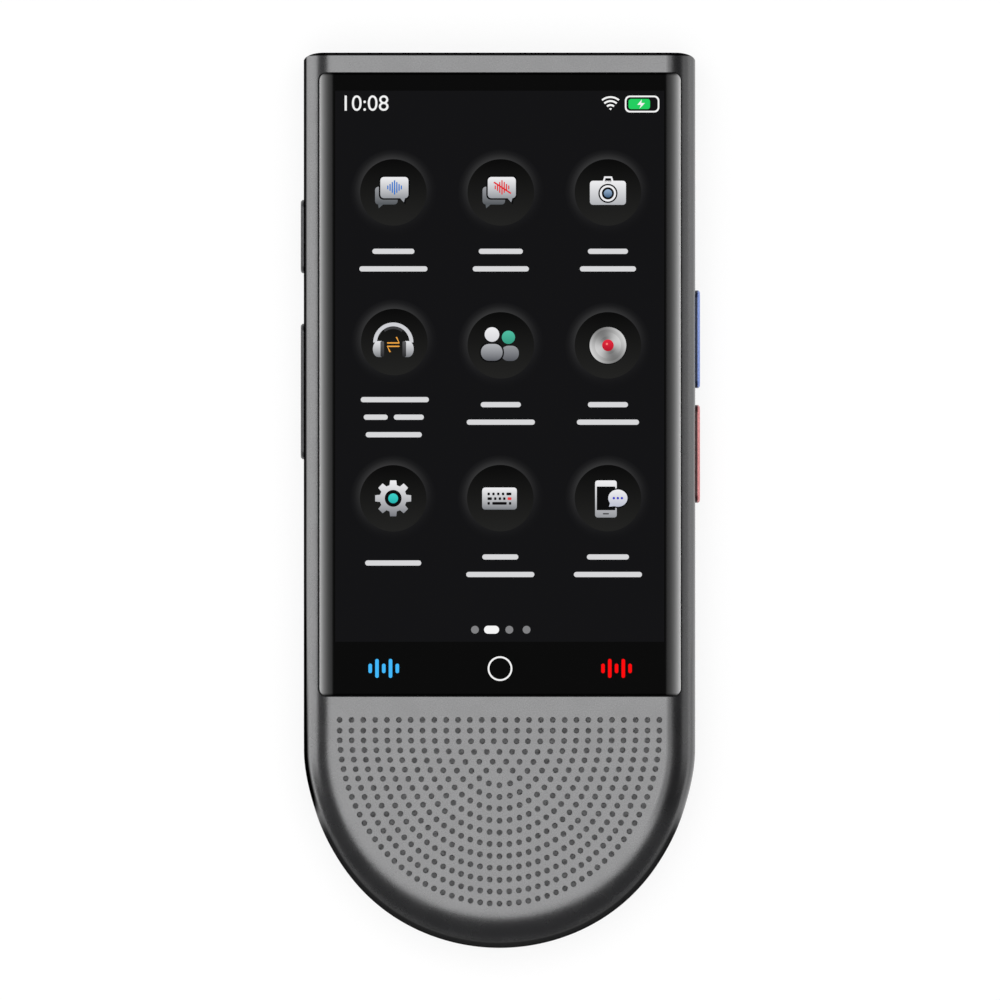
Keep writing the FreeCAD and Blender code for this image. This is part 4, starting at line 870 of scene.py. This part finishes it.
class Screen:
    """The picture's shapes, each with a centre in photograph pixels, a layer and one or two colours."""

    def __init__(self):
        self.build = Build()

    def shape(self, points, level, top, bottom=None):
        """A filled shape, shaded from its top colour to its bottom one."""
        points = list(points)
        ys = [p[1] for p in points]
        y0, y1 = min(ys), max(ys)
        bottom = bottom or top
        verts, tints = [], []
        for x, y in points:
            share = (y - y0) / max(1e-6, y1 - y0)
            verts.append(((x - CENTRE_X) * PIXEL, (CENTRE_Y - y) * PIXEL, layer(level)))
            tints.append([a + (b - a) * share for a, b in zip(top, bottom)])
        flat = [Vector((v[0], v[1], 0)) for v in verts]
        triangles = geometry.tessellate_polygon([flat])
        self.build.add(verts, triangles, [(0, 0, 1)] * len(verts), tints)

    def strip(self, outer, inner, level, outer_tint, inner_tint, closed=True):
        """A band between two rows of points, each with a colour or a list of colours."""
        count = len(outer)
        rows = list(outer) + list(inner)
        verts = [((x - CENTRE_X) * PIXEL, (CENTRE_Y - y) * PIXEL, layer(level)) for x, y in rows]
        tints = []
        for tint in (outer_tint, inner_tint):
            tints += list(tint) if isinstance(tint, list) else [tint] * count
        self.build.add(verts, band_faces(count, closed), [(0, 0, 1)] * len(verts), tints)

    def disc(self, x, y, r, level, top, bottom=None, count=40):
        self.shape(circle_points(x, y, r, count), level, top, bottom)

    def pill(self, x, y, wide, tall, level, top, bottom=None, r=None):
        """A rounded bar or panel. Its ends are round unless a corner radius is given."""
        r = min(wide, tall) / 2 * 0.999 if r is None else r
        corners = (x - wide / 2, y - tall / 2, x + wide / 2, y + tall / 2)
        self.shape(rounded_points(*corners, r, 6), level, top, bottom)

    def ring(self, x, y, r0, r1, level, tint, start=0, stop=360, count=48):
        """A ring, or the part of it between two angles in degrees."""
        closed = stop - start >= 360
        total = count if closed else count + 1
        angles = [math.radians(start + (stop - start) * i / count) for i in range(total)]
        outer = [(x + r1 * math.cos(t), y - r1 * math.sin(t)) for t in angles]
        inner = [(x + r0 * math.cos(t), y - r0 * math.sin(t)) for t in angles]
        self.strip(outer, inner, level, tint, tint, closed)

    def well(self, x, y, r=33.2):
        """A round well: a soft bright lip round a dark dish that lightens downward."""
        count = 64
        lip = []
        for i in range(count):
            lit = 0.5 + 0.5 * math.cos(2 * math.pi * i / count - math.radians(-110))
            lip.append([a + 0.028 * lit ** 1.5 + 0.003 for a in PANEL_GREY])
        rows = [(r, 1.0), (r + 2.5, 0.62), (r + 6, 0.2), (r + 10, 0.0)]
        for (r0, k0), (r1, k1) in zip(rows, rows[1:]):
            tint0 = [[b + (c - b) * k0 for b, c in zip(PANEL_GREY, v)] for v in lip]
            tint1 = [[b + (c - b) * k1 for b, c in zip(PANEL_GREY, v)] for v in lip]
            self.strip(circle_points(x, y, r1, count), circle_points(x, y, r0, count), 1, tint1, tint0)
        self.disc(x, y, r, 2, linear(3, 3, 3), linear(32, 32, 31), 64)

    def bars(self, x, y, pitch, width, heights, level, tint):
        """A row of upright round-ended bars, centred on x."""
        for i, tall in enumerate(heights):
            self.pill(x + (i - (len(heights) - 1) / 2) * pitch, y, width, tall, level, tint)


def bubbles(s, x, y, tint, struck):
    """Two speech bubbles with sound bars on the front one, struck through or not."""
    s.pill(x - 7, y + 3.2, 22.5, 17.8, 3, SHADED, linear(84, 88, 92), 3.5)
    s.shape([(x - 15.5, y + 10), (x - 9, y + 11), (x - 14.6, y + 15.8)], 3, linear(90, 94, 98))
    s.pill(x + 1, y - 4.8, 31, 24.2, 4, BLACK, r=4.6)
    s.shape([(x + 4.5, y + 4), (x + 13.5, y + 4), (x + 12, y + 12.2)], 4, BLACK)
    s.pill(x + 1, y - 4.8, 28, 21.2, 5, PALE, linear(150, 153, 158), 3.6)
    s.shape([(x + 6, y + 5), (x + 11.8, y + 5), (x + 10.4, y + 9.9)], 5, linear(150, 153, 158))
    s.bars(x + 1.2, y - 5, 2.25, 1.2, (4, 7, 11, 14.5, 11, 7, 4), 6, tint)
    if struck:
        s.shape([(x - 7.4, y - 9.6), (x - 6.4, y - 10.8), (x + 10.6, y + 0.4), (x + 9.6, y + 1.6)], 6, tint)


def camera_icon(s, x, y):
    """A camera seen from the front."""
    s.shape([(x - 5.6, y - 10), (x - 3.6, y - 16), (x + 4, y - 16), (x + 6, y - 10)], 4, PALE)
    s.shape([(x - 3.6, y - 10), (x - 2.4, y - 14.2), (x + 2.8, y - 14.2), (x + 4, y - 10)], 5, BLACK)
    s.pill(x, y + 0.4, 36, 24, 5, PALE, linear(176, 178, 182), 3.2)
    s.disc(x, y + 1, 9.6, 6, BLACK)
    s.ring(x, y + 1, 6.1, 8.1, 7, PALE)
    s.disc(x, y + 1, 4.1, 7, linear(150, 176, 205), linear(58, 88, 120))


def headphones_icon(s, x, y):
    """Headphones round two opposite arrows."""
    cx, cy = x - 1, y + 0.5
    s.ring(cx, cy, 13.5, 16.2, 4, linear(60, 60, 62), 52, 128)
    s.ring(cx, cy, 16.2, 20, 4, linear(205, 206, 210), 0, 180)
    for side in (-1, 1):
        ear = [(cx + side * 11.5, cy - 1.5), (cx + side * 15, cy - 1.5)]
        ear += [(cx + side * (15 + 5.4 * math.sin(t)), cy + 6.5 - 8.0 * math.cos(t))
                for t in np.linspace(0, math.pi, 12)]
        ear += [(cx + side * 11.5, cy + 14.5)]
        s.shape(ear if side > 0 else ear[::-1], 5, linear(226, 227, 230), linear(120, 122, 126))
        s.pill(cx + side * 11, cy + 6.5, 3.6, 15.5, 6, linear(92, 92, 94), linear(38, 38, 40), 1.2)
    amber = linear(240, 168, 70)
    for row, head in ((0.4, ((6.4, 0.9), (5.3, -0.2), (2.4, -5.4), (3.8, -5.6))),
                      (3.8, ((-6.4, 3.3), (-5.3, 4.4), (-2.4, 9.4), (-3.8, 9.7)))):
        s.pill(cx, cy + row, 12.5, 1.3, 6, amber)
        s.shape([(cx + dx, cy + dy) for dx, dy in head], 6, amber)


def people_icon(s, x, y):
    """Two people, one before the other."""
    s.disc(x + 7.6, y - 8, 6.6, 3, linear(80, 190, 162), linear(52, 150, 126))
    s.pill(x + 9.2, y + 8, 17.6, 15.2, 3, SHADED, linear(84, 86, 92), 7)
    s.pill(x - 9, y + 7, 24.4, 19.6, 4, BLACK, r=9)
    s.disc(x - 8.8, y - 10.8, 7.3, 5, PALE, linear(214, 214, 218))
    s.pill(x - 9, y + 7, 21.6, 16.8, 5, linear(178, 180, 184), linear(92, 94, 100), 8)


def record_icon(s, x, y):
    """A brushed disc with a red middle."""
    count = 72
    edge = [[0.40 + 0.22 * math.cos(2 * (2 * math.pi * i / count) + 0.9)] * 3 for i in range(count)]
    hub = [[v[0] * 0.8 + 0.06] * 3 for v in edge]
    s.disc(x, y, 19.3, 3, BLACK)
    for r0, r1, k in ((5, 9, 0.92), (9, 13, 1.0), (13, 16, 0.9), (16, 18.3, 1.06)):
        tints = ([[c * k for c in v] for v in part] for part in (edge, hub))
        s.strip(circle_points(x, y, r1, count), circle_points(x, y, r0, count), 4, *tints)
    s.disc(x, y, 5.8, 5, linear(228, 40, 62), linear(176, 16, 38))
    s.disc(x - 1, y - 1.4, 1.1, 6, linear(250, 130, 120))


def gear_icon(s, x, y):
    """A plain toothed wheel with a teal hub."""
    points = []
    for tooth in range(8):
        base = 2 * math.pi * tooth / 8
        for angle, r in ((-0.27, 13.6), (-0.17, 18.2), (0.17, 18.2), (0.27, 13.6)):
            points.append((x + r * math.cos(base + angle), y + r * math.sin(base + angle)))
    s.shape(points, 4, PALE, linear(118, 120, 126))
    s.disc(x, y, 8.4, 5, BLACK)
    s.disc(x, y, 4.9, 6, linear(60, 208, 200), linear(36, 176, 172))


def keyboard_icon(s, x, y):
    """A small keyboard with three rows of keys, each given by its place and width."""
    s.pill(x - 0.8, y + 0.4, 34.6, 22, 4, PALE, linear(122, 125, 130), 3)
    s.disc(x, y, 0.1, 3, BLACK)
    red = linear(226, 62, 66)
    for row, keys in enumerate((((-11.6, 2.4), (-6.8, 2.4), (-2, 2.4), (2.8, 2.4), (8.6, 5)),
                                ((-10.6, 4.4), (-5, 2.4), (-0.4, 2.4), (4, 2.4), (9.2, 4)),
                                ((-11.6, 2.4), (-0.8, 14.4), (9.8, 2.4)))):
        for number, (dx, wide) in enumerate(keys):
            tint = red if (row, number) == (1, 4) else BLACK
            s.pill(x + dx, y - 4.2 + 4.7 * row, wide, 2.7, 5, tint, r=0.8)


def oval_points(x, y, across, up):
    """An oval as a closed loop."""
    return [(x + across * math.cos(t), y + up * math.sin(t)) for t in np.linspace(0, 2 * math.pi, 41)[:-1]]


def phone_icon(s, x, y):
    """A phone with a speech bubble over its side."""
    s.pill(x - 2, y + 0.8, 21.6, 37, 3, PALE, SHADED, 2.6)
    s.pill(x - 1.9, y + 0.2, 18.4, 23.6, 4, BLACK, r=0.6)
    s.pill(x - 2, y + 15.6, 6, 1.3, 4, linear(60, 60, 62))
    s.shape(oval_points(x + 9.9, y, 10.8, 9.9), 5, BLACK)
    s.shape(oval_points(x + 9.9, y, 9.6, 8.6), 6, PALE, linear(186, 190, 206))
    s.shape([(x + 2.2, y + 4.6), (x + 6.6, y + 8), (x + 1, y + 8.6)], 6, linear(196, 200, 214))
    for dx in (-4, 0, 4):
        s.disc(x + 9.9 + dx, y, 1.25, 7, linear(62, 62, 190), count=16)


def draw_labels(s):
    """The bars in the labels' places."""
    for x, y, widths in LABELS:
        at = x - (sum(widths) + LABEL_GAP * (len(widths) - 1)) / 2
        for wide in widths:
            s.pill(at + wide / 2, y, wide, LABEL_HEIGHT, 2, linear(214, 214, 216))
            at += wide + LABEL_GAP


def draw_status(s):
    """The wireless sign and the charging battery in the top right corner."""
    for r0, r1 in ((0, 2.1), (4.2, 6.1), (8.2, 10.1)):
        s.ring(*WIRELESS, r0 + 0.001, r1, 2, WHITE_INK, 48, 132, 20)
    s.ring(*WIRELESS, 12.2, 14.0, 2, WHITE_INK, 50, 130, 20)
    s.strip(rounded_points(*BATTERY, 5, 6), rounded_points(*BATTERY_INNER, 3.8, 6), 2, WHITE_INK, WHITE_INK)
    s.pill(639, 104, 21.5, 10.2, 2, linear(34, 206, 96), r=2.6)
    s.shape([(641.5, 99.6), (637, 104.8), (640.6, 104.8), (639.2, 108.6), (644.6, 103), (641, 103)],
            3, WHITE_INK)


def draw_lower_rows(s):
    """The page dots and the three soft keys."""
    for x in (475, 509.3, 526.5):
        s.disc(x, PAGE_ROW, 3.9, 2, linear(128, 128, 130))
    s.pill(491.6, PAGE_ROW, 15, 8, 2, WHITE_INK)
    for x, tint in ((384.0, linear(66, 184, 250)), (616.3, linear(252, 6, 8))):
        s.bars(x, SOFT_KEY_ROW, 6.75, 3.6, (9.5, 19, 9.5, 19, 9.5), 2, tint)
    s.ring(500, SOFT_KEY_ROW + 0.2, 10.6, 12.3, 2, WHITE_INK)


def make_screen():
    """The lit picture: dark panel, nine wells with their icons, labels, status and soft keys."""
    s = Screen()
    left, top, right, bottom = PICTURE
    s.shape([(left, top), (right, top), (right, bottom), (left, bottom)], 0, PANEL_GREY)
    for place in WELLS:
        s.well(*place)
    bubbles(s, *WELLS[0], linear(34, 112, 200), False)
    bubbles(s, *WELLS[1], linear(222, 44, 52), True)
    icons = (camera_icon, headphones_icon, people_icon, record_icon, gear_icon, keyboard_icon, phone_icon)
    for icon, place in zip(icons, WELLS[2:]):
        icon(s, *place)
    draw_labels(s)
    draw_status(s)
    draw_lower_rows(s)
    add_piece("screen_picture", s.build, SCREEN)


def make_clock():
    """Plain digits for the clock."""
    curve = bpy.data.curves.new("clock_digits", "FONT")
    curve.body = "10:08"
    curve.size = 2.75 * MM
    curve.resolution_u = 6
    text = bpy.data.objects.new("clock_text", curve)
    bpy.context.scene.collection.objects.link(text)
    bpy.context.view_layer.update()
    mesh = bpy.data.meshes.new_from_object(text.evaluated_get(bpy.context.evaluated_depsgraph_get()))
    bpy.data.objects.remove(text)
    verts = [tuple(v.co / MM) for v in mesh.vertices]
    faces = [tuple(p.vertices) for p in mesh.polygons]
    wide = max(v[0] for v in verts) - min(v[0] for v in verts)
    left, base = (CLOCK_LEFT - CENTRE_X) * PIXEL, (CENTRE_Y - CLOCK_ROW) * PIXEL
    scale = CLOCK_WIDTH / wide
    verts = [(left + x * scale, base + y * scale, layer(2)) for x, y, _ in verts]
    build = Build()
    build.add(verts, faces, [(0, 0, 1)] * len(verts), [linear(240, 240, 240)] * len(verts))
    add_piece("clock_digits", build, SCREEN)


def area_lamp(name, place, aim, wide, tall, radiance, glossy=True):
    """A soft box. Radiance is what a mirror would show of it."""
    data = bpy.data.lights.new(name, "AREA")
    data.shape = "RECTANGLE"
    data.size, data.size_y = wide, tall
    data.energy = radiance * math.pi * wide * tall
    lamp = bpy.data.objects.new(name, data)
    lamp.location = place
    lamp.rotation_euler = (Vector(aim) - Vector(place)).to_track_quat("-Z", "Y").to_euler()
    lamp.visible_camera = False
    lamp.visible_glossy = glossy
    bpy.context.scene.collection.objects.link(lamp)


def make_floor():
    """A paper floor that is seen and mirrored as white and still takes the shadow."""
    reach = 6.0
    mesh = bpy.data.meshes.new("floor")
    corners = [(-reach, -reach, 0), (reach, -reach, 0), (reach, reach, 0), (-reach, reach, 0)]
    mesh.from_pydata(corners, [], [(0, 1, 2, 3)])
    floor = bpy.data.objects.new("floor", mesh)
    floor.location = (0, 0, -0.00002)
    bpy.context.scene.collection.objects.link(floor)
    mat, nodes, links, shader = new_material("floor_paper")
    set_inputs(shader, Base_Color=(0.86, 0.86, 0.86, 1), Roughness=0.9, Specular_IOR_Level=0.0)
    path = nodes.new("ShaderNodeLightPath")
    seen = math_node(nodes, links, "MAXIMUM", path.outputs["Is Camera Ray"], path.outputs["Is Glossy Ray"])
    seen = math_node(nodes, links, "MAXIMUM", seen, path.outputs["Is Transmission Ray"])
    share = math_node(nodes, links, "MULTIPLY", seen, 0.82)
    white = nodes.new("ShaderNodeEmission")
    set_inputs(white, Color=(1, 1, 1, 1), Strength=1.0)
    mix = nodes.new("ShaderNodeMixShader")
    links.new(share, mix.inputs["Fac"])
    links.new(shader.outputs["BSDF"], mix.inputs[1])
    links.new(white.outputs["Emission"], mix.inputs[2])
    links.new(mix.outputs["Shader"], nodes["Material Output"].inputs["Surface"])
    mesh.materials.append(mat)


def make_lights():
    """A dim studio with soft boxes above and on both sides, in metres."""
    world = bpy.data.worlds.new("studio")
    bpy.context.scene.world = world
    world.use_nodes = True
    set_inputs(world.node_tree.nodes["Background"], Color=(0.075, 0.075, 0.078, 1), Strength=1.0)
    area_lamp("overhead_box", (0, 0.05, 1.1), (0, 0.05, 0), 0.85, 0.92, 1.05)
    area_lamp("overhead_fill", (0, 0, 1.3), (0, 0, 0), 2.2, 2.2, 2.1, glossy=False)
    area_lamp("left_box", (-0.75, 0.36, 0.22), (0, 0.36, 0.01), 1.0, 0.46, 1.02)
    area_lamp("right_box", (0.75, 0.36, 0.20), (0, 0.36, 0.01), 1.0, 0.42, 0.52)


def make_camera():
    """A long lens straight above the part, at the photograph's scale."""
    camera = bpy.data.cameras.new("camera")
    camera.lens = 400
    camera.sensor_width = 36
    camera.clip_start = 0.1
    camera.clip_end = 20
    distance = 1000 * PIXEL * MM * camera.lens / camera.sensor_width
    eye = bpy.data.objects.new("camera", camera)
    across, up = (AIM_X - CENTRE_X) * PIXEL * MM, (CENTRE_Y - AIM_Y) * PIXEL * MM
    eye.location = (across, up, distance + AIM_HEIGHT * MM)
    bpy.context.scene.collection.objects.link(eye)
    bpy.context.scene.camera = eye


bpy.context.scene.view_settings.view_transform = "Standard"
dress_cad_nodes()
make_front_housing()
make_rear_cover()
make_glass()
make_screen()
make_clock()
make_floor()
make_lights()
make_camera()

bpy.context.view_layer.update()
